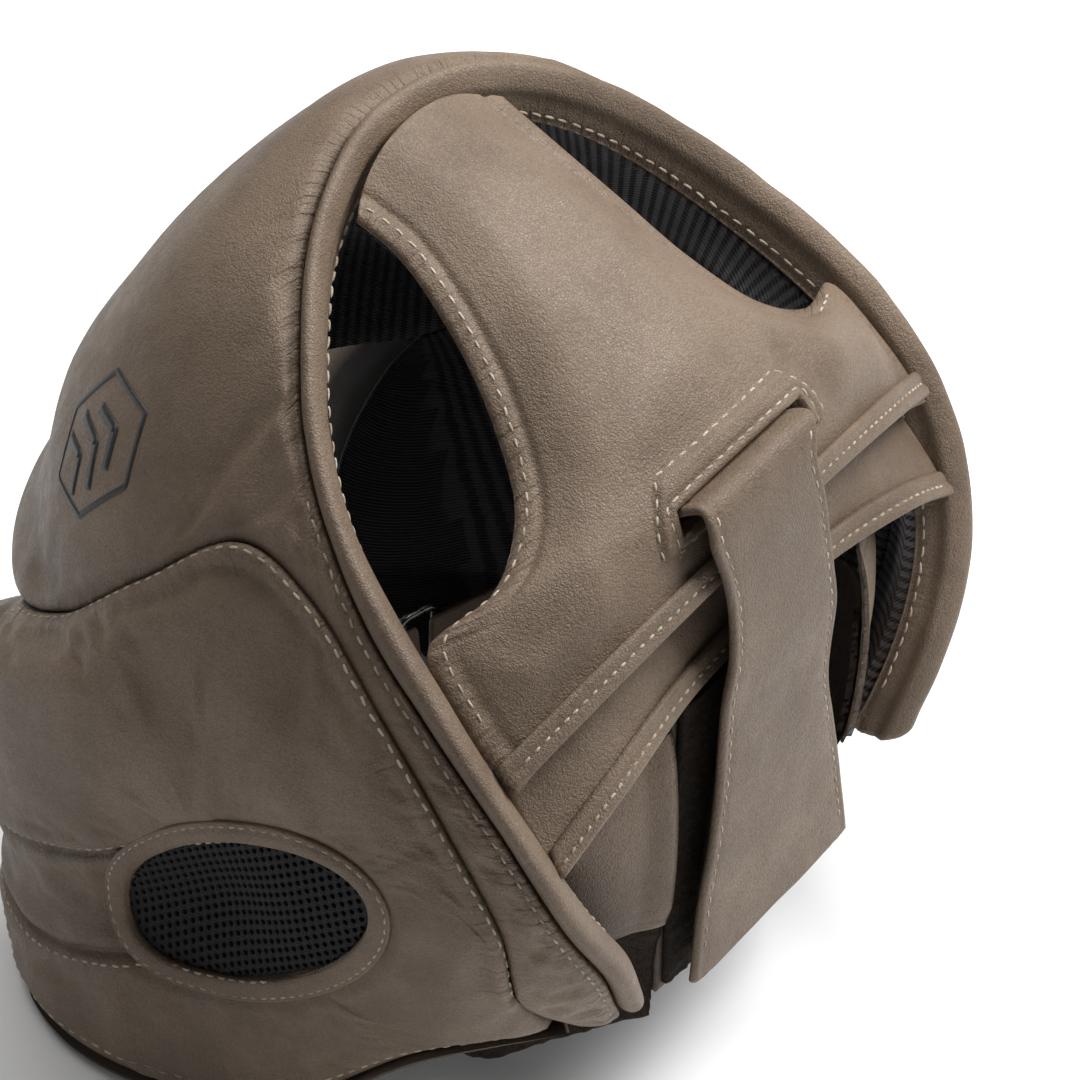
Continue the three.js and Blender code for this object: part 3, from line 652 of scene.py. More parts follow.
# ---- Stitches ----
def stitches(name, path, normals, body="shell", pitch=4.2, length=3.0, radius=0.36, closed=False, bury=0.16):
    """A row of thread stitches along a path that lies on a surface."""
    path, normals = np.asarray(path, float), np.asarray(normals, float)
    both = np.hstack([path, normals])
    if closed:
        both = np.vstack([both, both[:1]])
    s = arc_length(both[:, :3])
    count = int((s[-1] - (0 if closed else length)) / pitch)
    if count < 1:
        return None
    pitch = s[-1] / count if closed else pitch
    points, faces = [], []
    stations, sides = 7, 7
    t = np.linspace(-1, 1, stations)
    profile = np.sqrt(np.maximum(0.0, 1 - np.abs(t) ** 3.2)) * 0.92 + 0.08
    arch = radius * (0.55 - 0.95 * np.abs(t) ** 2.4) - bury
    angle = np.linspace(0, 2 * np.pi, sides, endpoint=False)
    for i in range(count):
        middle = (i + 0.5) * pitch + rng.uniform(-0.08, 0.08) * pitch
        at = np.clip(middle + t * length / 2 * rng.uniform(0.94, 1.05), 0, s[-1])
        line = np.stack([np.interp(at, s, both[:, k]) for k in range(6)], 1)
        place, normal = line[:, :3], unit(line[:, 3:])
        along = unit(np.gradient(place, axis=0) + 1e-9)
        cross = unit(np.cross(normal, along))
        skew = rng.uniform(-0.12, 0.12)
        place = place + normal * arch[:, None] + cross * (t * skew * length / 2)[:, None]
        ring = (
            place[:, None]
            + cross[:, None] * (radius * profile[:, None] * np.cos(angle))[..., None]
            + normal[:, None] * (0.8 * radius * profile[:, None] * np.sin(angle))[..., None]
        )
        ends_points, ends_faces = tube(ring)
        faces += [[q + len(points) for q in f] for f in ends_faces]
        points += ends_points.tolist()
    return make(name, points, faces, thread, None, body)


def stitch_on(name, path, tree, body="shell", step=1.0, closed=False, **style):
    path = resample(path, step, closed)
    places, normals = drop(path, tree)
    return stitches(name, places, normals, body, closed=closed, **style)


# ---- Side pads ----
THETA_FINE, THETA_COARSE = 512, 128
ROWS_FINE, ROWS_COARSE = 60, 15


def ear_yz(along, across):
    """Places (y, z) from distances along and across the ear opening."""
    y = EAR_CENTRE[0] + along * math.cos(EAR_TILT) - across * math.sin(EAR_TILT)
    z = EAR_CENTRE[1] + along * math.sin(EAR_TILT) + across * math.cos(EAR_TILT)
    return np.stack([y, z], 1)


def ear_ring_points(margin, count):
    """Places (y, z) on the ear opening's outline grown by a margin."""
    t = np.linspace(0, 2 * np.pi, count, endpoint=False)
    return ear_yz((EAR_HALF[0] + margin) * np.cos(t), (EAR_HALF[1] + margin) * np.sin(t))


grid_u, grid_v = shares_grid((SIDE_INSET, 1), 90, (0, 1), 70)
grid_yz = side_surface(grid_u, grid_v)[..., 1:].reshape(-1, 2)


def shares_at(yz):
    """The side pad's shares (u, v) at places (y, z), found by Newton's method."""
    yz = np.asarray(yz, float)
    nearest = np.array([np.argmin(((grid_yz - q) ** 2).sum(1)) for q in yz])
    uv = np.stack([grid_u.ravel()[nearest], grid_v.ravel()[nearest]], 1)
    small = 1e-4
    for _ in range(12):
        here = side_surface(uv[:, 0], uv[:, 1])[:, 1:]
        du = (side_surface(uv[:, 0] + small, uv[:, 1])[:, 1:] - here) / small
        dv = (side_surface(uv[:, 0], uv[:, 1] + small)[:, 1:] - here) / small
        miss = yz - here
        det = du[:, 0] * dv[:, 1] - du[:, 1] * dv[:, 0]
        step_u = (miss[:, 0] * dv[:, 1] - miss[:, 1] * dv[:, 0]) / det
        step_v = (du[:, 0] * miss[:, 1] - du[:, 1] * miss[:, 0]) / det
        uv = uv + np.clip(np.stack([step_u, step_v], 1), -0.05, 0.05)
        uv = np.clip(uv, [SIDE_INSET, 0], [1, 1])
    return uv


ear_uv = shares_at(ear_ring_points(0, 720))
centre_uv = shares_at([EAR_CENTRE])[0]
UV_SCALE = np.array([200.0, 130.0])  # rough size of the pad, so that rays spread evenly


def rectangle_edge(count):
    """count shares (u, v) round the side pad's edge, evenly along its length, with its corners kept."""
    corners = [(SIDE_INSET, 0), (1, 0), (1, 1), (SIDE_INSET, 1), (SIDE_INSET, 0)]
    sides = []
    for a, b in zip(corners, corners[1:]):
        t = np.linspace(0, 1, 200)[:, None]
        sides.append(np.array(a) * (1 - t) + np.array(b) * t)
    lengths = [arc_length(side_surface(s[:, 0], s[:, 1]))[-1] for s in sides]
    share = np.round(np.array(lengths) / sum(lengths) * count).astype(int)
    share[0] += count - share.sum()
    out = []
    for s, k in zip(sides, share):
        run = arc_length(side_surface(s[:, 0], s[:, 1]))
        at = np.linspace(0, run[-1], k, endpoint=False)
        out.append(np.stack([np.interp(at, run, s[:, 0]), np.interp(at, run, s[:, 1])], 1))
    return np.vstack(out)


def side_shares(thetas, rows):
    """Shares (thetas, rows + 1, 2) of a grid from the ear opening's edge out to the pad's edge."""
    edge = rectangle_edge(thetas)
    angle_edge = np.arctan2(*((edge - centre_uv) * UV_SCALE).T[::-1])
    angle_ear = np.arctan2(*((ear_uv - centre_uv) * UV_SCALE).T[::-1])
    order = np.argsort(angle_ear)
    ring = np.stack(
        [np.interp(angle_edge, angle_ear[order], ear_uv[order, k], period=2 * np.pi) for k in (0, 1)], 1
    )
    s = np.linspace(0, 1, rows + 1)
    r = s - 0.62 * np.sin(2 * np.pi * s) / (2 * np.pi)
    return ring[:, None] + (edge - ring)[:, None] * r[None, :, None]


def line_distance(points, line):
    """Distance from each of points (..., 3) to a polyline, and how far along it the nearest place is."""
    line = np.asarray(line, float)
    fine = resample(line, 0.5)
    run = arc_length(fine)
    flat = points.reshape(-1, 3)
    best, where = np.empty(len(flat)), np.empty(len(flat))
    for k in range(0, len(flat), 4000):
        d = np.linalg.norm(flat[k : k + 4000, None] - fine[None], axis=2)
        i = d.argmin(1)
        best[k : k + 4000], where[k : k + 4000] = d[np.arange(len(i)), i], run[i]
    return best.reshape(points.shape[:-1]), where.reshape(points.shape[:-1])


unit_share = np.linspace(0, 1, 400)
side_lines = {
    "top": side_surface(unit_share, 0 * unit_share),
    "front": side_surface(0 * unit_share + 1, unit_share),
    "bottom": side_surface(unit_share, 0 * unit_share + 1),
    "rear": side_surface(0 * unit_share + SIDE_INSET, unit_share),
}
channel_u = np.linspace(0.44, 0.995, 220)
channel_lines = [side_surface(channel_u, channel_middle(channel_u) + side * CHANNEL_HALF) for side in (-1, 1)]
ear_line = side_surface(*ear_uv.T)
SIDE_TUCKS = {"front": (7.0, 9.0), "bottom": (5.5, 7.0), "rear": (3.5, 5.0)}  # depth and width, in mm


def side_grid(thetas, rows):
    """The side pad's outer face with its edges and seams turned in, and the distances that shaped it."""
    shares = side_shares(thetas, rows)
    u = shares[..., 0]
    flat = side_surface(u, shares[..., 1])
    top, along = line_distance(flat, side_lines["top"])
    ear = line_distance(flat, np.vstack([ear_line, ear_line[:1]]))[0]
    lift = tuck(top, 1.7, 1.6) - 0.55 * hump(top, 6.5, 3.2) + 0.5 * hump(top, 3.0, 1.6)
    edge = top
    for word, (depth, width) in SIDE_TUCKS.items():
        d = line_distance(flat, side_lines[word])[0]
        lift = lift + tuck(d, depth, width)
        edge = np.minimum(edge, d)
    lift = lift - EAR_SINK * smooth(9.5, 5.5, ear)
    channels = [line_distance(flat, line)[0] for line in channel_lines]
    for d in channels:
        lift = lift + smooth(0.44, 0.5, u) * (-2.3 * hump(d, 0, 1.5) + 0.7 * hump(d, 4.5, 3.0))
    out = unit(flat - centre_of(flat))
    return {
        "shares": shares, "points": flat + out * lift[..., None], "out": out, "edge": edge, "ear": ear,
        "channel": np.minimum(*channels), "top": top, "along": along,
    }


WALL_COLUMNS, INNER_COLUMNS = 3, 7


def close_shell(outer, inner_at):
    """Closed rings: the outer face, the wall at its last column, the inner face, and the wall back to the first.
    inner_at(i) is the inner face behind column i of the outer face."""
    t = np.linspace(0, 1, WALL_COLUMNS + 2)[1:-1]
    inner = [inner_at(i) for i in np.linspace(outer.shape[1] - 1, 0, INNER_COLUMNS).astype(int)]
    wall = [outer[:, -1] + (inner[0] - outer[:, -1]) * x for x in t]
    back = [inner[-1] + (outer[:, 0] - inner[-1]) * x for x in t]
    return np.concatenate([outer, np.stack(wall + inner + back, 1)], 1)


def side_inner(shares, depth):
    """The inside of the side pad, depth mm out from the face that the wearer feels."""
    p = side_place(shares[..., 0], shares[..., 1])
    return at_level(p, INNER_LEVEL + rear_thinning(p) + depth)


def side_shell(outer, shares):
    return close_shell(outer, lambda i: side_inner(shares[:, i], LINING + GAP))


def finer(swell, columns, rows, wrap):
    """A coarse grid's movement, read on a grid of columns x rows."""
    if wrap:
        lap = np.concatenate([swell[-1:], swell, swell[:2]])
        field = cubic(lap, np.arange(columns) / columns * len(swell) + 1)
    else:
        field = cubic(swell, np.linspace(0, len(swell) - 1, columns))
    return cubic(field.transpose(1, 0, 2), np.linspace(0, swell.shape[1] - 1, rows)).transpose(1, 0, 2)


def uneven(points, out, seam, scale, seed):
    """Points moved in and out by up to half a millimetre, away from the seams."""
    calm = smooth(3, 12, seam)
    return points + out * (0.5 * calm * value_noise(points / scale, seed))[..., None]


coarse = side_grid(THETA_COARSE, ROWS_COARSE)
free = (coarse["edge"] > 4.5) & (coarse["ear"] > 8.5)
free &= ~((coarse["channel"] < 2.5) & (coarse["shares"][..., 0] > 0.46))
swell = inflate(side_shell(coarse["points"], coarse["shares"]), free, True)
fine = side_grid(THETA_FINE, ROWS_FINE)
side_skin = fine["points"] + finer(swell, THETA_FINE, ROWS_FINE + 1, True)
side_skin = uneven(side_skin, fine["out"], np.minimum(fine["edge"], fine["ear"] - 6), 26, 3)
side_rings = side_shell(side_skin, fine["shares"])
side_near = np.minimum(fine["top"], fine["channel"] + 25 * (fine["shares"][..., 0] < 0.47))

SIDES = (("left", 1), ("right", -1))
SIDE_NODES = ("side_cover", "rear_foam", "cheek_foam", "channel_foam", "jaw_foam")


def flip(points, side):
    return np.asarray(points, float) * (side, 1, 1)


side_trees = {}
for label, side in SIDES:
    pad = make(
        label + "_side_pad", flip(side_rings, side), grid_faces(*side_rings.shape[:2], True, True), leather, "leather",
        stands_for=[f"{label}_{node}" for node in SIDE_NODES],
    )
    # Painted shade: the pad's walls and inner face, from column ROWS_FINE + 2 on, are painted near-black.
    pad_attribute(pad, side_rings, fine["along"], side_near, ROWS_FINE + 2)
    side_trees[label] = tree_of(pad)

# ---- Forehead pad and the border down to the rear corners ----
U_FINE, U_COARSE = 620, 155
V_FINE, V_COARSE = 44, 11
BORDER_LAP = 0.4  # mm that it lies over the seam line


def border_grid(columns, rows):
    u = np.linspace(0, 1, columns + 1)[:, None] + np.zeros(rows + 1)
    s = np.linspace(0, 1, rows + 1)
    v = (s - 0.6 * np.sin(2 * np.pi * s) / (2 * np.pi))[None] + np.zeros((columns + 1, 1))
    p = border_place(u, v, margin_seam=-BORDER_LAP)
    length = np.linalg.norm(rim_curve.at(u) - seam_curve.at(u), axis=-1) - RIM_WIDTH + BORDER_LAP
    seam, rim = v * length, (1 - v) * length
    lift = tuck(seam, 2.9, 8.5) + tuck(rim, 2.6, 6.5) - 0.5 * hump(rim, 2.0, 1.1)
    flat = at_level(p, outer_level(p))
    out = unit(flat - centre_of(flat))
    run = arc_length(flat[:, rows // 2])[:, None] + 0 * v
    return {"u": u, "v": v, "points": flat + out * lift[..., None], "out": out, "seam": seam, "rim": rim, "along": run}


def border_shell(outer, u, v):
    def inner_at(i):
        p = border_place(u[:, i], v[:, i])
        return at_level(p, border_inner(p, v[:, i]) + LINING + GAP)

    return close_shell(outer, inner_at)


coarse = border_grid(U_COARSE, V_COARSE)
free = (coarse["seam"] > 5) & (coarse["rim"] > 4)
free[:2] = free[-2:] = False
swell = inflate(border_shell(coarse["points"], coarse["u"], coarse["v"]), free, False)
fine_border = border_grid(U_FINE, V_FINE)
border_skin = fine_border["points"] + finer(swell, U_FINE + 1, V_FINE + 1, False)
border_skin = uneven(border_skin, fine_border["out"], np.minimum(fine_border["seam"], fine_border["rim"]), 24, 5)
border_rings = pinch(border_shell(border_skin, fine_border["u"], fine_border["v"]), 5)
forehead = make(
    "forehead_pad", *tube(border_rings), leather, "leather",
    stands_for=[
        "forehead_cover", "left_border_foam", "left_temple_foam", "forehead_foam",
        "right_temple_foam", "right_border_foam",
    ],
)
near = np.minimum(fine_border["rim"], fine_border["seam"] + 3)
# Painted shade: the pad's walls and inner face, from column V_FINE + 3 on, are painted near-black.
pad_attribute(forehead, border_rings, fine_border["along"], near, V_FINE + 3)
forehead_tree = tree_of(forehead)

# ---- Rolled rim ----
ROLL_STEPS, ROLL_SIDES = 760, 36
u = np.linspace(0.008, 0.992, ROLL_STEPS + 1)[:, None] + np.zeros(ROLL_SIDES)
t = (2 * np.pi * (np.arange(ROLL_SIDES) + 0.5) / ROLL_SIDES)[None] + 0 * u
seam_points, rim_points = seam_curve.at(u), rim_curve.at(u)
length = np.linalg.norm(rim_points - seam_points, axis=-1)
half_width = RIM_WIDTH / 2 - 0.1
back = RIM_WIDTH / 2 - half_width * np.sign(np.cos(t)) * np.abs(np.cos(t)) ** 0.9
# A bead of piping over an inner facing that lies further back.
height = 3.3 + 7.3 * np.sin(t)
back = back + 1.9 * smooth(0, 0.5, np.cos(t)) * smooth(3.6, 1.8, height)
p = seam_points + (rim_points - seam_points) * (1 - back / length)[..., None]
rim_run = arc_length(rim_curve.at(u[:, 0]))
top_level, low_level = outer_level(p) + 0.6, RIM_INNER_LEVEL
wobble = value_noise(np.stack([rim_run / 9, 0 * rim_run, 0 * rim_run], 1), 11)[:, None]
level = (top_level + low_level) / 2 + (top_level - low_level) / 2 * np.sin(t) + 0.18 * wobble * (np.sin(t) > 0)
roll = pinch(at_level(p, level), 4)
rim = make("rim_roll_leather", *tube(roll), leather, "leather", stands_for=["rim_roll"])
seam_attribute(rim, rim_run[:, None] + 0 * u, 3 + 14 * (np.sin(t) + 1) / 2 + 6 * (np.cos(t) < 0))
facing_u = np.linspace(0.02, 0.98, 1500)
facing_way = unit(rim_curve.at(facing_u) - seam_curve.at(facing_u))
facing_path = at_level(rim_curve.at(facing_u) - facing_way * 2.05, RIM_INNER_LEVEL + 2.0 + 0 * facing_u)
stitches("rim_facing_stitches", facing_path, facing_way, pitch=4.0, length=2.9, radius=0.36)

# ---- Crown pad ----
crown_middle, crown_edge = Curve(CROWN_MIDDLE), Curve(CROWN_EDGE)
CROWN_SHOULDER = 0.62


def crown_face(u, v):
    middle, edge = crown_middle.at(u), crown_edge.at(u)
    t = np.abs(v)[..., None]
    shoulder = np.stack([edge[..., 0] * CROWN_SHOULDER, middle[..., 1], middle[..., 2]], -1)
    p = middle * (1 - t) ** 2 + shoulder * 2 * t * (1 - t) + edge * t * t
    p[..., 0] *= np.sign(v)
    return p


def crown_normal(u, v):
    small = 0.01
    along = crown_face(np.minimum(1, u + small), v) - crown_face(np.maximum(0, u - small), v)
    across = crown_face(u, v + small) - crown_face(u, v - small)
    normal = unit(np.cross(along, across))
    return np.where((normal[..., 1] + normal[..., 2] < 0)[..., None], -normal, normal)


def crown_at(u, v, height):
    return crown_face(u, v) + crown_normal(u, v) * np.asarray(height)[..., None]


SLOT_AXIS = np.array([0, math.cos(math.radians(30)), -math.sin(math.radians(30))])
SLOT_CENTRE = np.array([0.0, 72.0, 180.0])


def slot_rows(v, half_height):
    """The crown's shares u at the slot's upper and lower edge, for each v."""
    us = np.linspace(0.6, 0.95, 300)
    out = []
    for x in v:
        q = (crown_face(us, 0 * us + x) - SLOT_CENTRE) @ SLOT_AXIS
        out.append([np.interp(-half_height, q, us), np.interp(half_height, q, us)])
    return np.array(out).T


def slot_v(half_width):
    """The crown's share v where the slot's end lies."""
    vs = np.linspace(0, 1, 400)
    return float(np.interp(half_width, crown_face(0 * vs + 0.74, vs)[:, 0], vs))


def crown_grid(rows, columns, half_height=2.8, half_width=25.0, reach=1.0, first=0.0, last=1.0):
    """Shares of a crown grid whose lines follow the slot, and the range of faces that the slot leaves out."""
    end = slot_v(half_width) / reach
    c = int(round(columns * (1 - end) / 2))
    v = np.concatenate([
        np.linspace(-1, -end, c, endpoint=False), np.linspace(-end, end, columns - 2 * c, endpoint=False),
        np.linspace(end, 1, c + 1),
    ]) * reach
    top, foot = slot_rows(np.clip(v, -end * reach * 1.2, end * reach * 1.2), half_height)
    middle = 0.5 * (top.mean() + foot.mean())
    r0 = int(round(rows * (middle - first) / (last - first)))
    slot_half = 2
    s = np.arange(rows + 1)
    u = np.empty((rows + 1, len(v)))
    for j in range(len(v)):
        u[:, j] = np.interp(s, [0, r0 - slot_half, r0 + slot_half, rows], [first, top[j], foot[j], last])
    return u, np.broadcast_to(v, u.shape), (r0 - slot_half, r0 + slot_half, c, columns - c)


def around(i0, i1, j0, j1):
    """Places (i, j) round a rectangle of a grid, in order."""
    across, down = range(j0, j1 + 1), range(i0 + 1, i1)
    return (
        [(i0, j) for j in across] + [(i, j1) for i in down]
        + [(i1, j) for j in reversed(across)] + [(i, j0) for i in reversed(down)]
    )


def hole_outline(flat, hole):
    """The closed outline of a grid's hole."""
    r0, r1, c0, c1 = hole
    return np.vstack([flat[r0, c0 : c1 + 1], flat[r1, c0 : c1 + 1][::-1], flat[r0, c0 : c0 + 1]])


def holed_slab(top, foot, hole=(0, 0, 0, 0)):
    """A slab between two grids (rows, columns, 3), with a rectangular hole through it."""
    rows, columns = top.shape[:2]
    r0, r1, c0, c1 = hole
    count = rows * columns
    faces = []
    for i in range(rows - 1):
        for j in range(columns - 1):
            if r0 <= i < r1 and c0 <= j < c1:
                continue
            a, b = i * columns + j, (i + 1) * columns + j
            faces.append([a, b, b + 1, a + 1])
            faces.append([count + a, count + a + 1, count + b + 1, count + b])
    loops = [around(0, rows - 1, 0, columns - 1)[::-1]]
    if r1 > r0:
        loops.append(around(*hole))
    for loop in loops:
        loop = [i * columns + j for i, j in loop]
        faces += [[a, b, count + b, count + a] for a, b in zip(loop, loop[1:] + loop[:1])]
    return np.vstack([top.reshape(-1, 3), foot.reshape(-1, 3)]), faces


CROWN_ROWS, CROWN_COLUMNS = 150, 120
cu, cv, slot_hole = crown_grid(CROWN_ROWS, CROWN_COLUMNS)
crown_flat = crown_face(cu, cv)
edge_lines = [crown_face(unit_share, 0 * unit_share + side) for side in (-1, 1)]
side_distance = np.minimum(*[line_distance(crown_flat, line)[0] for line in edge_lines])
hem_distance = line_distance(crown_flat, crown_face(0 * unit_share + 1, 2 * unit_share - 1))[0]
slot_distance = line_distance(crown_flat, hole_outline(crown_flat, slot_hole))[0]
puff = 2.2 * smooth(6.5, 22, side_distance) * smooth(9, 26, slot_distance) * smooth(7, 18, hem_distance)
height = puff + tuck(side_distance, 1.6, 1.8) - 0.8 * hump(side_distance, 6.4, 1.3)
height = height + 0.9 * smooth(10, 30, side_distance) * smooth(9, 22, slot_distance) * value_noise(crown_flat / 20, 21)
height = height - 0.6 * smooth(1.4, 0, slot_distance)
crown_top = crown_at(cu, cv, height)
crown_under = crown_at(cu, cv, -4.3 + 2.6 * smooth(7, 1.5, side_distance) + 0 * cu)
crown = make(
    "crown_pad", *holed_slab(crown_top, crown_under, slot_hole), leather, "leather",
    stands_for=["crown_cover", "crown_foam"],
)
seam_attribute(crown, [cu * 160] * 2, [side_distance, 0 * side_distance + FAR])
crown_tree = tree_of(crown)

# ---- Strips, straps and slabs ----
def strip(middle, across, normal, half, thickness, puff=0.25, grooves=(), depth=0.3, columns=26):
    """Closed rings of a strap or binding: a slightly crowned face, rounded edges and pressed-in seams."""
    t = np.sin(np.linspace(-1, 1, columns + 1) * math.pi / 2)[None]
    half = np.broadcast_to(np.asarray(half, float), (len(middle),))[:, None]
    d = (1 - np.abs(t)) * half
    edge = np.sqrt(np.maximum(0.02, 1 - (1 - np.clip(d / (thickness * 0.55), 0, 1)) ** 2))
    top = thickness / 2 * edge + puff * (1 - t * t) * edge
    for inset in grooves:
        top = top - depth * hump(d, inset, 0.8)
    base = middle[:, None] + across[:, None] * (t * half)[..., None]
    face, under = (base + normal[:, None] * level[..., None] for level in (top, -thickness / 2 * edge))
    return np.concatenate([face, under[:, ::-1]], 1)


def strip_piece(name, rings, material, slot, body="shell", stands_for=(), end=1.2):
    return make(name, *tube(pinch(rings, end)), material, slot, body, stands_for)


def slab_piece(name, top, foot, material, slot, body="shell", stands_for=()):
    return make(name, *holed_slab(top, foot), material, slot, body, stands_for)


# ---- Slot border ----
reach = slot_v(33.0)
su, sv, hole = crown_grid(40, 90, 2.7, 25.0, reach, 0.625, 0.875)
flat = crown_face(su, sv)
edges = [line_distance(flat, line)[0] for line in (flat[0], flat[:, -1], flat[-1], flat[:, 0])]
CORNER = 5.0
from_corner = np.stack([np.minimum(edges[1], edges[3]), np.minimum(edges[0], edges[2])])
to_out = CORNER - np.linalg.norm(np.maximum(CORNER - from_corner, 0), axis=0)
to_out = np.where(from_corner.min(0) < CORNER, to_out, from_corner.min(0))
to_in, _ = line_distance(flat, hole_outline(flat, hole))
raised = -0.5 + 2.0 * smooth(0, 4.4, to_out) + tuck(to_in, 0.8, 1.4) - 0.6 * smooth(0.4, -1.0, to_out)
raised = raised - 0.3 * hump(to_out, 2.4, 0.8) - 0.4 * hump(to_in, 2.3, 0.8)
border_top, border_under = crown_at(su, sv, raised), crown_at(su, sv, 0 * su - 1.6)
border = make(
    "slot_border", *holed_slab(border_top, border_under, hole), leather, "leather", stands_for=["slot_facing"],
)
seam_attribute(border, su * 130 + sv * 30, 40.0, faces=2)
border_tree = tree_of(border)

# ---- Hem strips and the rear band ----
v_line = np.linspace(-1, 1, 130)


def crown_strip_frame(u, v):
    place = crown_face(u, v)
    across = unit(crown_face(np.minimum(1, u + 0.004), v) - crown_face(np.minimum(1, u + 0.004) - 0.008, v))
    return place, across, crown_normal(np.minimum(u, 0.985), v)


place, across, normal = crown_strip_frame(0 * v_line + 0.97, v_line * 0.995)
hem_rings = strip(place + normal * 1.1, across, normal, 3.5, 2.0, 0.2, (3.5,), 0.45)
hem = strip_piece("crown_hem_strip", hem_rings, leather, "leather", stands_for=["crown_hem"])
hem_tree = tree_of(hem)

band_top = Curve(both_sides([[81, 58, 142], [60, 63, 150], [30, 68, 158], [0, 69, 160]]))
band_foot = Curve(both_sides([[84, 79, 116], [61, 81, 129], [30, 77.5, 133], [0, 77, 134]]))


def band_at(u, v, depth=0.0, reach=1.0):
    p = band_top.at(u) + (band_foot.at(u) - band_top.at(u)) * v[..., None]
    p[..., 0] *= reach
    p[..., 1] += depth
    return p


bu, bv = shares_grid((0, 1), 121, (0, 1), 25)
flat = band_at(bu, bv)
wave = 0.7 * value_noise(flat / 17, 31) * smooth(0, 0.2, bv) * smooth(1, 0.75, bv)
band_face = band_at(bu, bv, 0.9 * np.sin(math.pi * bv) + wave)
band = slab_piece("rear_band_leather", band_face, band_at(bu, bv, -1.6), leather, "leather", stands_for=["rear_band"])
seam_attribute(band, bu * 170, 30.0, faces=2)
lining_face = band_at(bu, bv, -3.4, 0.96)
band_lining = slab_piece(
    "rear_band_liner", band_at(bu, bv, -2.2, 0.96), lining_face, knit, "knit", stands_for=["rear_band_lining"]
)
seam_attribute(band_lining, bu * 170, bv * 20, faces=2)
line_u = np.linspace(0.004, 0.996, 130)
place = band_at(line_u, 0 * line_u + 0.88, 1.15)
across = unit(band_at(line_u, 0 * line_u + 1) - band_at(line_u, 0 * line_u + 0.8))
normal = unit(np.cross(unit(np.gradient(place, axis=0)), across))
normal = np.where(normal[:, 1:2] < 0, -normal, normal)
band_hem_rings = strip(place, across, normal, 3.6, 2.0, 0.25, (3.6,), 0.45)
band_hem = strip_piece("rear_band_hem_strip", band_hem_rings, leather, "leather", stands_for=["rear_band_hem"])
band_hem_tree = tree_of(band_hem)

# ---- Linings ----
def there_and_back(figures):
    """The figures of a lining's face, then of its back, whose columns run the other way."""
    return np.concatenate([figures, figures[:, ::-1]], 1)


for label, side in SIDES:
    every = fine["shares"][:, ::3]
    ripple = 0.5 * value_noise(side_inner(every, 0.0) / 18, 41)
    rings = np.concatenate([side_inner(every, -0.3 + ripple), side_inner(every, LINING)[:, ::-1]], 1)
    liner = make(
        label + "_side_liner", flip(rings, side), grid_faces(*rings.shape[:2], True, True), knit, "knit",
        stands_for=[label + "_side_lining"],
    )
    # Painted shade: the side liner's knit is painted near-black all over.
    seam_attribute(liner, *(there_and_back(fine[word][:, ::3]) for word in ("along", "top")), 1.0)

lu = np.linspace(0, 1, 421)[:, None] + np.zeros(22)
lv = np.linspace(0, 1, 22)[None] + np.zeros((421, 1))
p = border_place(lu, lv)
base = border_inner(p, lv)
ripple = 0.5 * value_noise(p / 18, 43)
wearer = at_level(p, base - 0.3 + ripple)
rings = np.concatenate([wearer, at_level(p, base + LINING)[:, ::-1]], 1)
forehead_liner = strip_piece("forehead_liner", rings, knit, "knit", stands_for=["forehead_lining"])
run = arc_length(wearer[:, 11])[:, None] + 0 * lv
down = np.linalg.norm(wearer - wearer[:, :1], axis=-1)
# Painted shade: the liner's knit goes near-black away from the rim, deeper in the headgear, and stays light near the
# rim.
liner_painted_shade = smooth(0.55, 0.26, lv)
seam_attribute(forehead_liner, *(there_and_back(part) for part in (run, down, liner_painted_shade)))

liner_u, liner_v, liner_hole = crown_grid(60, 60, 2.8, 25.0, 0.96)
low = crown_at(liner_u, liner_v, 0 * liner_u - 6.3 + 0.3 * value_noise(crown_face(liner_u, liner_v) / 15, 45))
high = crown_at(liner_u, liner_v, 0 * liner_u - 4.9)
crown_liner = make("crown_liner", *holed_slab(high, low, liner_hole), knit, "knit", stands_for=["crown_lining"])
# Painted shade: the crown liner's knit is painted near-black all over.
seam_attribute(crown_liner, low[..., 0], liner_u * 130, 1.0, faces=2)
anchor_u, anchor_v = shares_grid((0.815, 0.995), 20, (-slot_v(22), slot_v(22)), 24)
slab_piece(
    "strap_anchor_patch", crown_at(anchor_u, anchor_v, 0 * anchor_u - 6.6),
    crown_at(anchor_u, anchor_v, 0 * anchor_u - 8.0), dark_leather, "leather", stands_for=["strap_anchor"],
)

# ---- Jaw gussets ----
gu, gt = shares_grid((0, 1), 160, (0, 1), 9)
foot = bottom_curve.at(gu)
foot[..., 2] = np.maximum(foot[..., 2], 0)


def gusset_at(depth, lip):
    """A place on the gusset, depth mm above the foot and lip mm back from the pad's outer face."""
    top = side_top(gu)
    p = top + (foot - top) * (1 - depth / np.linalg.norm(top - foot, axis=-1))[..., None]
    low_level = INNER_LEVEL + rear_thinning(p)
    high_level = outer_level(p) + relief(gu, 1.0) - lip - 7 * smooth(0.93, 1.0, gu)
    return at_level(p, low_level + (high_level - low_level) * gt)


for label, side in SIDES:
    lower, upper = gusset_at(0.0, 1.5), gusset_at(2.2, 0.6)
    lower[..., 2] = np.maximum(lower[..., 2], 0)
    slab_piece(
        label + "_jaw_base_strip", flip(upper, side), flip(lower, side), dark_leather, "leather",
        stands_for=[label + "_jaw_gusset"],
    )

# ---- Ear bindings and mesh ----
EAR_STEPS = 240
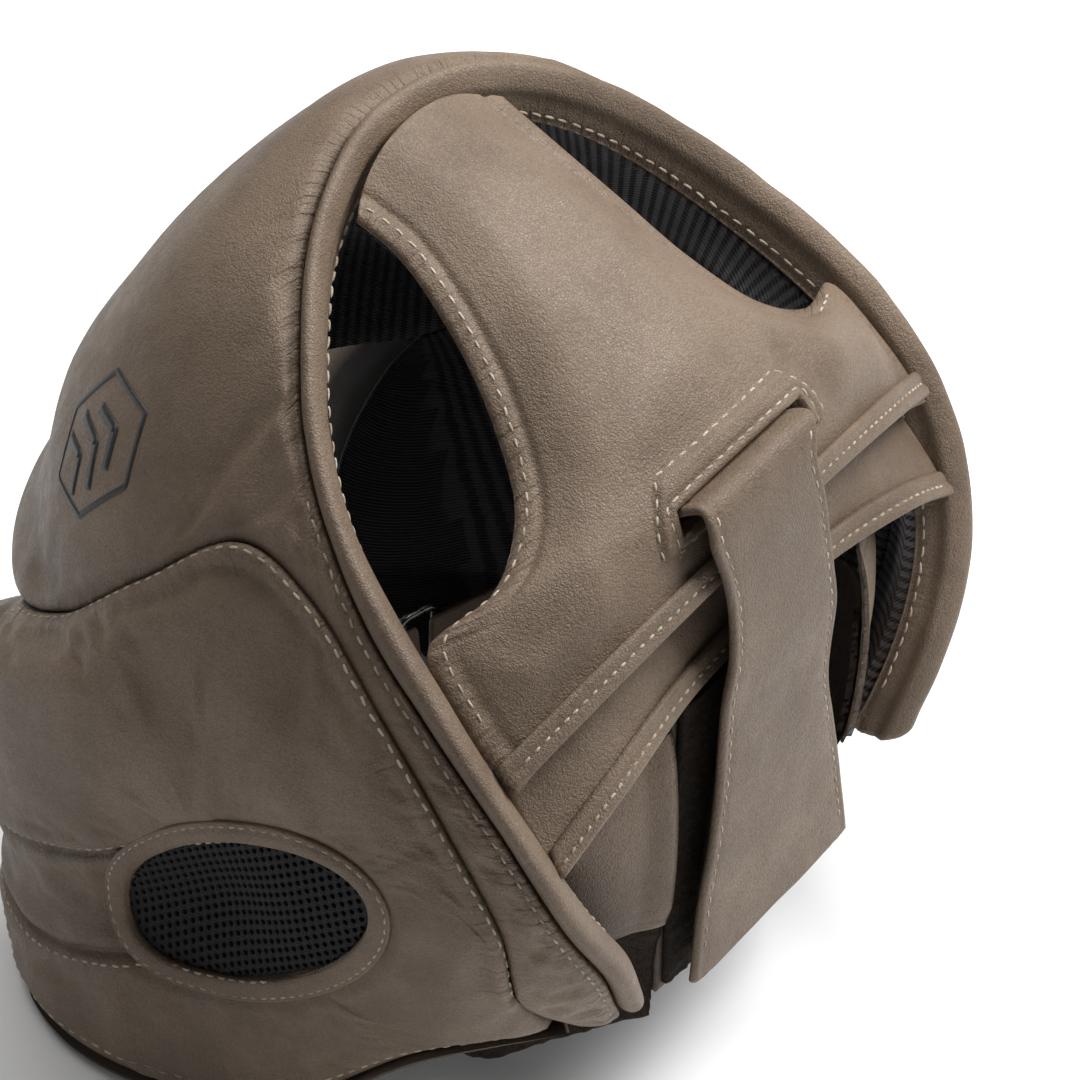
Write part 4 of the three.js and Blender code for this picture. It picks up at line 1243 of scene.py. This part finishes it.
# The binding's section: how far out from the opening's edge, and how high over the pad's face.
profile = [(0.0, -1.2), (0.0, 0.55), (0.25, 0.95), (1.0, 1.25), (2.4, 1.4), (3.8, 1.3), (4.7, 0.85), (5.4, 1.05),
           (6.0, 0.8), (6.3, 0.2), (6.2, -0.6), (3.0, -0.6)]
binding = np.stack([
    side_surface(*shares_at(ear_ring_points(margin, EAR_STEPS)).T, height - EAR_SINK) for margin, height in profile
], 1)

# The mesh: round holes in a honeycomb of flat cells, drawn in to the opening at its edge.
cells, cell_faces = [], []
PITCH = 2.9
half_a, half_b = EAR_HALF[0] - 0.25, EAR_HALF[1] - 0.25
turn = np.linspace(0, 2 * np.pi, 12, endpoint=False) + np.pi / 6
hexagon = PITCH / math.sqrt(3) / np.where(np.arange(12) % 2 == 0, 1.0, 1 / math.cos(math.pi / 6))
layers = [(hexagon, 0.0), (0 * hexagon + 1.12, 0.22), (0 * hexagon + 0.74, 0.0), (0 * hexagon + 0.66, -1.1)]
for row in range(-9, 10):
    for column in range(-16, 17):
        a, b = PITCH * (column + 0.5 * (row % 2)), row * PITCH * math.sqrt(3) / 2
        if (a / half_a) ** 2 + (b / half_b) ** 2 > 1.03:
            continue
        start = len(cells) * 48
        cells.append([
            [a + r * math.cos(w), b + r * math.sin(w), h] for radii, h in layers for r, w in zip(radii, turn)
        ])
        for first in (start, start + 12, start + 24):
            for j in range(12):
                j1 = (j + 1) % 12
                cell_faces.append([first + j, first + j1, first + 12 + j1, first + 12 + j])
cells = np.array(cells).reshape(-1, 3)
over = np.sqrt((cells[:, 0] / half_a) ** 2 + (cells[:, 1] / half_b) ** 2)
cells[:, :2] /= np.maximum(1, over)[:, None]


def ear_places(a, b, lift):
    return side_surface(*shares_at(ear_yz(a, b)).T, lift)


net = ear_places(cells[:, 0], cells[:, 1], cells[:, 2] - 2.4)
rings_in = np.linspace(0, 1, 12)[1:]
disc_angle = np.linspace(0, 2 * np.pi, 72, endpoint=False)
disc_a = np.concatenate([[0], (half_a * rings_in[:, None] * np.cos(disc_angle)).ravel()])
disc_b = np.concatenate([[0], (half_b * rings_in[:, None] * np.sin(disc_angle)).ravel()])
disc_top, disc_low = ear_places(disc_a, disc_b, 0 * disc_a - 3.4), ear_places(disc_a, disc_b, 0 * disc_a - 4.4)
disc_faces = [[0, 1 + j, 1 + (j + 1) % 72] for j in range(72)] + grid_faces(11, 72, False, True, 1)
n_disc = len(disc_top)
disc_faces += [[q + n_disc for q in f][::-1] for f in disc_faces]
last = 1 + 10 * 72
disc_faces += [[last + j, last + (j + 1) % 72, n_disc + last + (j + 1) % 72, n_disc + last + j] for j in range(72)]
ear_stitch = side_surface(*shares_at(ear_ring_points(4.75, 300)).T, 2.0)
for label, side in SIDES:
    ring = make(
        label + "_ear_binding", flip(binding, side), grid_faces(EAR_STEPS, len(profile), True, True),
        leather, "leather", stands_for=[label + "_ear_ring"],
    )
    make(
        label + "_ear_net", flip(net, side), cell_faces, air_mesh, "air_mesh",
        stands_for=[label + "_ear_mesh"], closed=False,
    )
    make(label + "_ear_net_backing", flip(np.vstack([disc_top, disc_low]), side), disc_faces, mesh_back, "air_mesh")
    stitch_on(
        label + "_ear_stitches", flip(ear_stitch, side), tree_of(ring), closed=True, pitch=3.4, length=2.5, radius=0.3,
    )

# ---- Nape panel and arms ----
def nape_half(z):
    return 36 - 4 * smooth(60, 130, z)


def plate(columns, rows, inset, z0, z1, y, rough=0.0, seed=0):
    b, a = np.meshgrid(np.linspace(-1, 1, columns + 1), np.linspace(z0, z1, rows + 1))
    x = b * (nape_half(a) - inset)
    p = np.stack([x, y - 0.0006 * x * x, a], -1)
    p[..., 1] += rough * value_noise(p / 1.9, seed) + 0.5 * rough * value_noise(p / 0.8, seed + 1)
    return p


PANEL, PILE = (40, 60, 0, 38, 130), (80, 120, 2.0, 40, 127.5)  # columns, rows, inset, lowest and highest z
slab_piece(
    "nape_panel_leather", plate(*PANEL, 75.4), plate(*PANEL, 73.4), dark_leather, "dark_leather",
    stands_for=["nape_panel"],
)
slab_piece(
    "nape_pile", plate(*PILE, 77.2, 0.45, 51), plate(*PILE, 75.5), loop_pile, "loop_pile", stands_for=["nape_loop"],
)

arm_line = Curve([[37, 74.6, 0], [58, 66, 0], [76, 50, 0], [88, 32, 0]])


def arm_at(u, v, ends, lift):
    """A place on a nape arm: u from the panel to the side pad, v up between its lowest and highest z at the panel."""
    z0, z1 = ends
    p = arm_line.at(u)
    low = z0 - 20 * np.maximum(0, u) + 30 * (np.maximum(0, u - 0.55) / 0.45) ** 2
    p[..., 2] = low * (1 - v) + (z1 - 28 * u) * v
    return at_level(p, -12.5 - 6.5 * smooth(0, 0.45, u) + lift)


au, av = shares_grid((-0.15, 1), 70, (0, 1), 60)
ARM_ENDS, FLAP_ENDS = (29, 106), (31, 128)
FLAP_U, FLAP_LOW = (-0.17, 0.5), 0.36
flap_u, flap_v = shares_grid(FLAP_U, 60, (FLAP_LOW, 1), 50)
fuzz = 0.5 * value_noise(arm_at(au, av, ARM_ENDS, 0.0) / 1.9, 57)
over = 3.4 * smooth(0.12, -0.02, au)
over_flap = 3.4 * smooth(0.12, -0.02, flap_u)
folds = 0.7 * value_noise(arm_at(flap_u, flap_v, FLAP_ENDS, 0.0) / (14, 14, 30), 59)
flap_edge = np.minimum(
    np.minimum(flap_u - FLAP_U[0], FLAP_U[1] - flap_u) * 55, np.minimum(flap_v - FLAP_LOW, 1 - flap_v) * 90,
)
flap_top = 3.4 + over_flap + 1.5 * smooth(0, 9, flap_edge) + folds * smooth(2, 8, flap_edge)
for label, side in SIDES:
    slab_piece(
        label + "_nape_arm_pile", flip(arm_at(au, av, ARM_ENDS, 2.2 + over + fuzz), side),
        flip(arm_at(au, av, ARM_ENDS, 0.6 + over), side), loop_pile, "loop_pile",
        stands_for=[label + "_nape_arm", label + "_nape_arm_loop"],
    )
    flap = slab_piece(
        label + "_nape_arm_leather", flip(arm_at(flap_u, flap_v, FLAP_ENDS, flap_top), side),
        flip(arm_at(flap_u, flap_v, FLAP_ENDS, 2.9 + over_flap), side), leather, "dark_leather",
    )
    seam_attribute(flap, arm_at(flap_u, flap_v, FLAP_ENDS, 0)[..., 2], flap_edge)

# ---- Closure strap ----
strap_path = Curve(STRAP_PATH)
strap_widths = Curve([[w, 0, 0] for w in STRAP_HALF_WIDTHS])


def strap_frame(u):
    place = strap_path.at(u)
    tangent = unit(strap_path.at(np.minimum(1, u + 0.004)) - strap_path.at(np.maximum(0, u - 0.004)))
    normal = np.stack([0 * u, -tangent[:, 2], tangent[:, 1]], 1)
    return place, np.tile([1.0, 0, 0], (len(u), 1)), normal, strap_widths.at(u)[:, 0]


ROOT_PATH = [[2, 65.6, 176.2], [2, 69.6, 179.4], [2, 73.2, 182.0], STRAP_PATH[0], [3.4, 78.9, 180.4], STRAP_PATH[1]]
line = np.vstack([Curve(ROOT_PATH).at(np.linspace(0, 1, 200))[:-1], strap_path.at(np.linspace(1 / 9, 1, 800))])
line = resample(line, 0.8)
from_start = np.linalg.norm(strap_path.at(np.linspace(0, 1, 400))[None] - line[:, None], axis=2).argmin(1) / 399
tangent = unit(np.gradient(line, axis=0))
for _ in range(3):
    tangent = unit(np.vstack([tangent[:1], (tangent[:-2] + tangent[1:-1] + tangent[2:]) / 3, tangent[-1:]]))
normal = np.stack([0 * tangent[:, 0], -tangent[:, 2], tangent[:, 1]], 1)
strap_rings = strip(
    line, np.tile([1.0, 0, 0], (len(line), 1)), normal, strap_widths.at(from_start)[:, 0], 2.4, 0.35, (2.9,), 0.28, 40,
)
ripple = 0.5 * value_noise(strap_rings / (14, 400, 22), 61)[..., None] * normal[:, None]
strap_rings = pinch(strap_rings + ripple * smooth(0.05, 0.25, from_start)[:, None, None], 1.4)

# The root and the strap are one run of leather, parted 4.5 mm past the strap path's start. The root rides on no body,
# with its placement baked into its points.
run = arc_length(line)
split = int(np.argmin(np.abs(run - run[np.argmax(from_start > 0)] - 4.5)))
root = make("closure_strap_root", *tube(strap_rings[: split + 1]), strap_leather, "leather", None)
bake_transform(root)
strap = make(
    "closure_strap_leather", *tube(strap_rings[split:]), strap_leather, "leather", "closure", ["closure_strap"],
)
strap_tree = tree_of(strap)
hu = np.linspace(0.62, 0.97, 90)
place, across, normal, half = strap_frame(hu)
hook_rings = strip(place - normal * 2.3, across, normal, half - 3, 1.6, 0.0, columns=40)
hook_rings = hook_rings + 0.16 * value_noise(hook_rings / 1.2, 63)[..., None] * normal[:, None]
strip_piece("closure_hook_pad", hook_rings, hook_tape, "hook_tape", "closure", ["closure_hook"])

# ---- Chin strap ----
CHIN_MIDDLE_Z = 20.5
CHIN_BOW, CHIN_HALF = 14, 71


def chin_y(x):
    """The chin strap's middle, which bows forward between the pads."""
    return -60 + CHIN_BOW * (x / CHIN_HALF) ** 2


def chin_rings(x0, x1, depth, thickness, width, grooves=()):
    steps = 70
    x = np.linspace(x0, x1, steps)
    place = np.stack([x, chin_y(x), 0 * x + CHIN_MIDDLE_Z], 1)
    tangent = unit(np.gradient(place, axis=0))
    normal = np.stack([tangent[:, 1], -tangent[:, 0], 0 * x], 1)
    normal = np.where(normal[:, 1:2] > 0, -normal, normal)
    up = np.tile([0, 0, 1.0], (steps, 1))
    return strip(place + normal * depth, up, normal, width / 2, thickness, 0.2, grooves, 0.25, 22)


GROOVE = (2.4,)
chin_parts = [
    ("chin_strap_leather", (68.6, -42.5, 0.0, 2.2, 25, GROOVE), strap_leather, "leather", "shell", "chin_strap"),
    ("chin_loop_pile", (30, -33, 1.95, 1.1, 21), loop_pile, "loop_pile", "shell", "chin_loop"),
    ("chin_ring_tab_leather", (-45.5, -68.6, 0.0, 2.2, 25, GROOVE), strap_leather, "leather", "shell", "chin_ring_tab"),
    ("chin_tab_hook_pad", (4, -32, 3.35, 1.1, 21), hook_tape, "hook_tape", "chin_tab", "chin_tab_hook"),
    ("chin_tab_leather", (8, -42, 5.3, 2.0, 25, GROOVE), strap_leather, "leather", "chin_tab", "chin_tab"),
]
for name, shape, material, slot, body, node in chin_parts:
    strip_piece(name, chin_rings(*shape), material, slot, body, [node], end=1.0)

# A bent wire ring with rounded corners.
RING_HALF_X, RING_HALF_Z, RING_BEND = 6.1, 14.6, 3.2
loop = []
for k, (sx, sz) in enumerate([(1, 1), (-1, 1), (-1, -1), (1, -1)]):
    for w in np.linspace(0, math.pi / 2, 7) + k * math.pi / 2:
        loop.append([
            sx * (RING_HALF_X - RING_BEND) + RING_BEND * math.cos(w),
            sz * (RING_HALF_Z - RING_BEND) + RING_BEND * math.sin(w),
        ])
loop = resample(np.array(loop), 0.7, True)
RING_X = -44
ring_slope = math.atan(2 * CHIN_BOW * RING_X / CHIN_HALF**2)
wire = np.stack([
    RING_X + loop[:, 0] * math.cos(ring_slope), chin_y(RING_X) - 2.7 + loop[:, 0] * math.sin(ring_slope),
    CHIN_MIDDLE_Z + loop[:, 1],
], 1)
wire_along = unit(np.roll(wire, -1, 0) - np.roll(wire, 1, 0))
wire_out = np.array([-math.sin(ring_slope), math.cos(ring_slope), 0])
wire_side = np.cross(wire_along, wire_out)
w = np.linspace(0, 2 * np.pi, 12, endpoint=False)
wire_rings = wire[:, None] + 1.2 * (
    np.cos(w)[None, :, None] * wire_side[:, None] + np.sin(w)[None, :, None] * wire_out[None, None]
)
make("chin_ring_wire", wire_rings, grid_faces(len(wire), 12, True, True), steel, "steel", stands_for=["chin_ring"])

# ---- Seams in thread ----
FINE_STITCH = {"pitch": 4.0, "length": 2.9, "radius": 0.33}
HEM_STITCH = {"pitch": 3.1, "length": 2.2, "radius": 0.36}


def between_ends(points, first, last):
    return points[int(len(points) * first): int(len(points) * last)]


dense = np.linspace(0, 1, 900)
RIM_STITCHED = 0.262
rim_foot = border_place(dense, 0 * dense + 1, RIM_WIDTH + 2.1)
rim_foot = at_level(rim_foot, outer_level(rim_foot))
stitch_on("left_rim_stitches", between_ends(rim_foot, 0.01, RIM_STITCHED), forehead_tree, **FINE_STITCH)
stitch_on("right_rim_stitches", between_ends(rim_foot, 1 - RIM_STITCHED, 0.99), forehead_tree, **FINE_STITCH)
for label, side in SIDES:
    tree = side_trees[label]
    run = np.linspace(0.02, 0.985, 500)
    lip = 1.5 / np.linalg.norm(side_top(run) - bottom_curve.at(run), axis=-1)
    front_v = np.linspace(0.03, 0.97, 260)
    for word, line in {
        "seam": side_surface(run, lip + 0.001), "cheek_edge": side_surface(0 * front_v + 0.966, front_v),
        "jaw_edge": side_surface(run, 1 - 6.5 / 130 + 0 * run),
    }.items():
        stitch_on(f"{label}_{word}_stitches", flip(line, side), tree, **FINE_STITCH)
    u_line = np.linspace(0.5, 0.985, 240)
    for word, shift in (("upper", -1), ("lower", 1)):
        line = side_surface(u_line, channel_middle(u_line) + shift * (CHANNEL_HALF + 0.017))
        stitch_on(f"{label}_channel_{word}_stitches", flip(line, side), tree, pitch=3.8, length=2.8, radius=0.34)

# The left edge of the crown is stitched along its length, and the right one only where it runs out to the rim.
crown_u = np.linspace(0.01, 0.93, 400)
line = crown_face(crown_u, 0 * crown_u + 1)
crown_rows = {
    "left": line + unit(crown_face(crown_u, 0 * crown_u + 0.9) - line) * 4.2,
    "right": crown_face(np.linspace(0.70, 0.735, 60), np.linspace(-0.79, -0.96, 60)),
}
for word, side in SIDES:
    path = crown_rows[word]
    stitch_on(f"crown_{word}_stitches", path, crown_tree, **FINE_STITCH)
    v_front = side * np.linspace(0.72, 0.97, 40)
    front_line = crown_face(0 * v_front + 0.05, v_front)
    stitch_on(f"crown_{word}_corner_stitches", front_line, crown_tree, **FINE_STITCH)
place, across, normal = crown_strip_frame(0 * v_line + 0.97, v_line * 0.96)
stitch_on("crown_hem_stitches", place + normal * 2, hem_tree, **HEM_STITCH)
place = band_at(line_u, 0 * line_u + 0.88, 2.0)
stitch_on("rear_band_hem_stitches", between_ends(place, 0.01, 0.99), band_hem_tree, **HEM_STITCH)

above = crown_at(su, sv, 0 * su + 2)
outer_rect, inner_rect = (
    resample([above[place] for place in around(*corners)], 0.8, True)
    for corners in ((0, above.shape[0] - 1, 0, above.shape[1] - 1), hole)
)
middle_of_slot = crown_at(np.array([su[hole[0]:hole[1] + 1].mean()]), np.array([0.0]), np.array([2.0]))[0]


def scaled_about(points, amount):
    """A rectangle on the crown grown by amount mm on every side."""
    down = unit(crown_face(np.array([0.78]), np.array([0.0])) - crown_face(np.array([0.72]), np.array([0.0])))[0]
    out = points.copy()
    rise = (points - middle_of_slot) @ down
    half_x, half_d = np.abs(points[:, 0]).max(), np.abs(rise).max()
    out[:, 0] += np.clip(points[:, 0] / half_x * 1.6, -1, 1) * amount
    return out + np.clip(rise / half_d * 1.25, -1, 1)[:, None] * amount * down


stitch_on("slot_outer_stitches", scaled_about(outer_rect, -2.3), border_tree, closed=True, **FINE_STITCH)
stitch_on("slot_inner_stitches", scaled_about(inner_rect, 2.3), border_tree, closed=True, **FINE_STITCH)

strap_run = np.linspace(0.02, 0.985, 400)
place, across, normal, half = strap_frame(strap_run)
for word, side in SIDES:
    line = place + across * (side * (half - 2.9))[:, None]
    hits = [strap_tree.ray_cast(Vector(p + n * 6), Vector(-n), 12) for p, n in zip(line, normal)]
    good = [(np.array(h[0]), n) for h, n in zip(hits, normal) if h[0] is not None]
    stitches(f"strap_{word}_stitches", [g[0] for g in good], [g[1] for g in good], "closure", 4.4, 2.8, 0.34)
for name, (x0, x1, depth, body) in {
    "chin_strap": (66.5, -40.5, 1.25, "shell"), "chin_tab": (6.5, -40.5, 6.5, "chin_tab"),
}.items():
    for word, side in SIDES:
        x = np.linspace(x0, x1, 160)
        path = np.stack([x, chin_y(x) - depth, 0 * x + CHIN_MIDDLE_Z + side * 10.1], 1)
        stitches(f"{name}_{word}_stitches", path, np.tile([0, -1.0, 0], (160, 1)), body, 4.2, 2.8, 0.32, bury=0.05)

# ---- Printed mark: a generic hexagon with three chevrons on the left temple ----
MARK_CENTRE = np.array([76.0, -55.0, 174.0])
mark_out = unit(MARK_CENTRE - centre_of(MARK_CENTRE))
mark_up = unit(np.array([0.0, 0.0, 1.0]) - mark_out * mark_out[2])
mark_right = np.cross(mark_up, mark_out)
tilt = math.radians(-32)
mark_x = mark_right * math.cos(tilt) + mark_up * math.sin(tilt)
mark_y = -mark_right * math.sin(tilt) + mark_up * math.cos(tilt)


def band_along(line, width, closed):
    """Left and right edges of a flat line drawn in the plane."""
    line = resample(np.array(line, float), 0.8, closed)
    d = unit(np.roll(line, -1, 0) - np.roll(line, 1, 0) if closed else np.gradient(line, axis=0))
    side_way = np.stack([-d[:, 1], d[:, 0]], 1) * width / 2
    return line + side_way, line - side_way


mark_points, mark_faces = [], []
hexagon_line = [[16 * math.cos(w), 20 * math.sin(w)] for w in np.radians([90, 150, 210, 270, 330, 30])]
drawn = [(hexagon_line, 1.4, True)]
for level_y, reach_x, thick in ((8.0, 7.5, 2.8), (0.0, 9.3, 2.8), (-8.0, 7.5, 2.8)):
    drawn.append(([[-reach_x, level_y - 4.4], [0, level_y + 1.0], [reach_x, level_y - 4.4]], thick, False))
for line, width, is_closed in drawn:
    placed = []
    for edge_line in band_along(line, width, is_closed):
        at = MARK_CENTRE + edge_line[:, :1] * mark_x + edge_line[:, 1:] * mark_y
        hits, normals = drop(at, forehead_tree, 20)
        placed.append(hits + normals * 0.14)
        placed.append(hits - normals * 0.2)
    n = len(hits)
    ring = np.stack([placed[0], placed[2], placed[3], placed[1]], 1)
    faces_here = grid_faces(n, 4, is_closed, True)
    if not is_closed:
        faces_here += [[0, 1, 2, 3], [(n - 1) * 4 + q for q in (3, 2, 1, 0)]]
    mark_faces += [[q + len(mark_points) for q in f] for f in faces_here]
    mark_points += ring.reshape(-1, 3).tolist()
make("temple_mark", mark_points, mark_faces, ink, None)

# ---- Camera, lights and floor ----
AZIMUTH, ELEVATION = math.radians(125.6), math.radians(40.8)
CAMERA_DISTANCE = 1.202
back_way = Vector((
    math.sin(AZIMUTH) * math.cos(ELEVATION), -math.cos(AZIMUTH) * math.cos(ELEVATION), math.sin(ELEVATION),
))
right_way = Vector((math.cos(AZIMUTH), math.sin(AZIMUTH), 0))
target = Vector((-0.0068, 0.02235, 0.120))


def aim(obj, place):
    """Puts a camera or light at a place, looking at the target."""
    obj.location = place
    obj.rotation_mode = "QUATERNION"
    obj.rotation_quaternion = (target - place).to_track_quat("-Z", "Y")


camera_data = bpy.data.cameras.new("camera")
camera = put_in_scene("camera", camera_data)
aim(camera, target + back_way * CAMERA_DISTANCE)
camera_data.lens = 165
camera_data.sensor_width = 36
camera_data.clip_end = 50
bpy.context.scene.camera = camera


def area_light(name, place, size, power):
    data = bpy.data.lights.new(name, "AREA")
    data.shape = "RECTANGLE"
    data.size, data.size_y = size
    data.energy = power
    aim(put_in_scene(name, data), place)


area_light("key", target + right_way * 0.75 + Vector((0, 0, 1.15)) - back_way * 0.25, (0.7, 0.7), 23)
area_light("top", target + Vector((0, 0, 1.4)) - back_way * 0.5 - right_way * 0.2, (1.0, 0.6), 10)
area_light("fill", target + back_way * 1.3 - right_way * 0.9, (1.2, 1.2), 0.5)

world = bpy.data.worlds.new("studio")
bpy.context.scene.world = world
world.use_nodes = True
background = world.node_tree.nodes["Background"].inputs
background["Color"].default_value = (1, 1, 1, 1)
background["Strength"].default_value = 0.12

floor_mesh = bpy.data.meshes.new("floor")
floor_mesh.from_pydata([(-6, -6, 0), (6, -6, 0), (6, 6, 0), (-6, 6, 0)], [], [(0, 1, 2, 3)])
floor = put_in_scene("floor", floor_mesh)
floor.location.z = -0.0005
paper = Nodes("floor_paper")
floor_mesh.materials.append(
    paper.set(
        Base_Color=paper.mix(paper.noise(3.0, 2.0), colour(0.90, 0.90, 0.90), colour(0.93, 0.93, 0.93)),
        Roughness=0.7, Specular_IOR_Level=0.2,
    )
)
bpy.context.scene.view_settings.view_transform = "Standard"
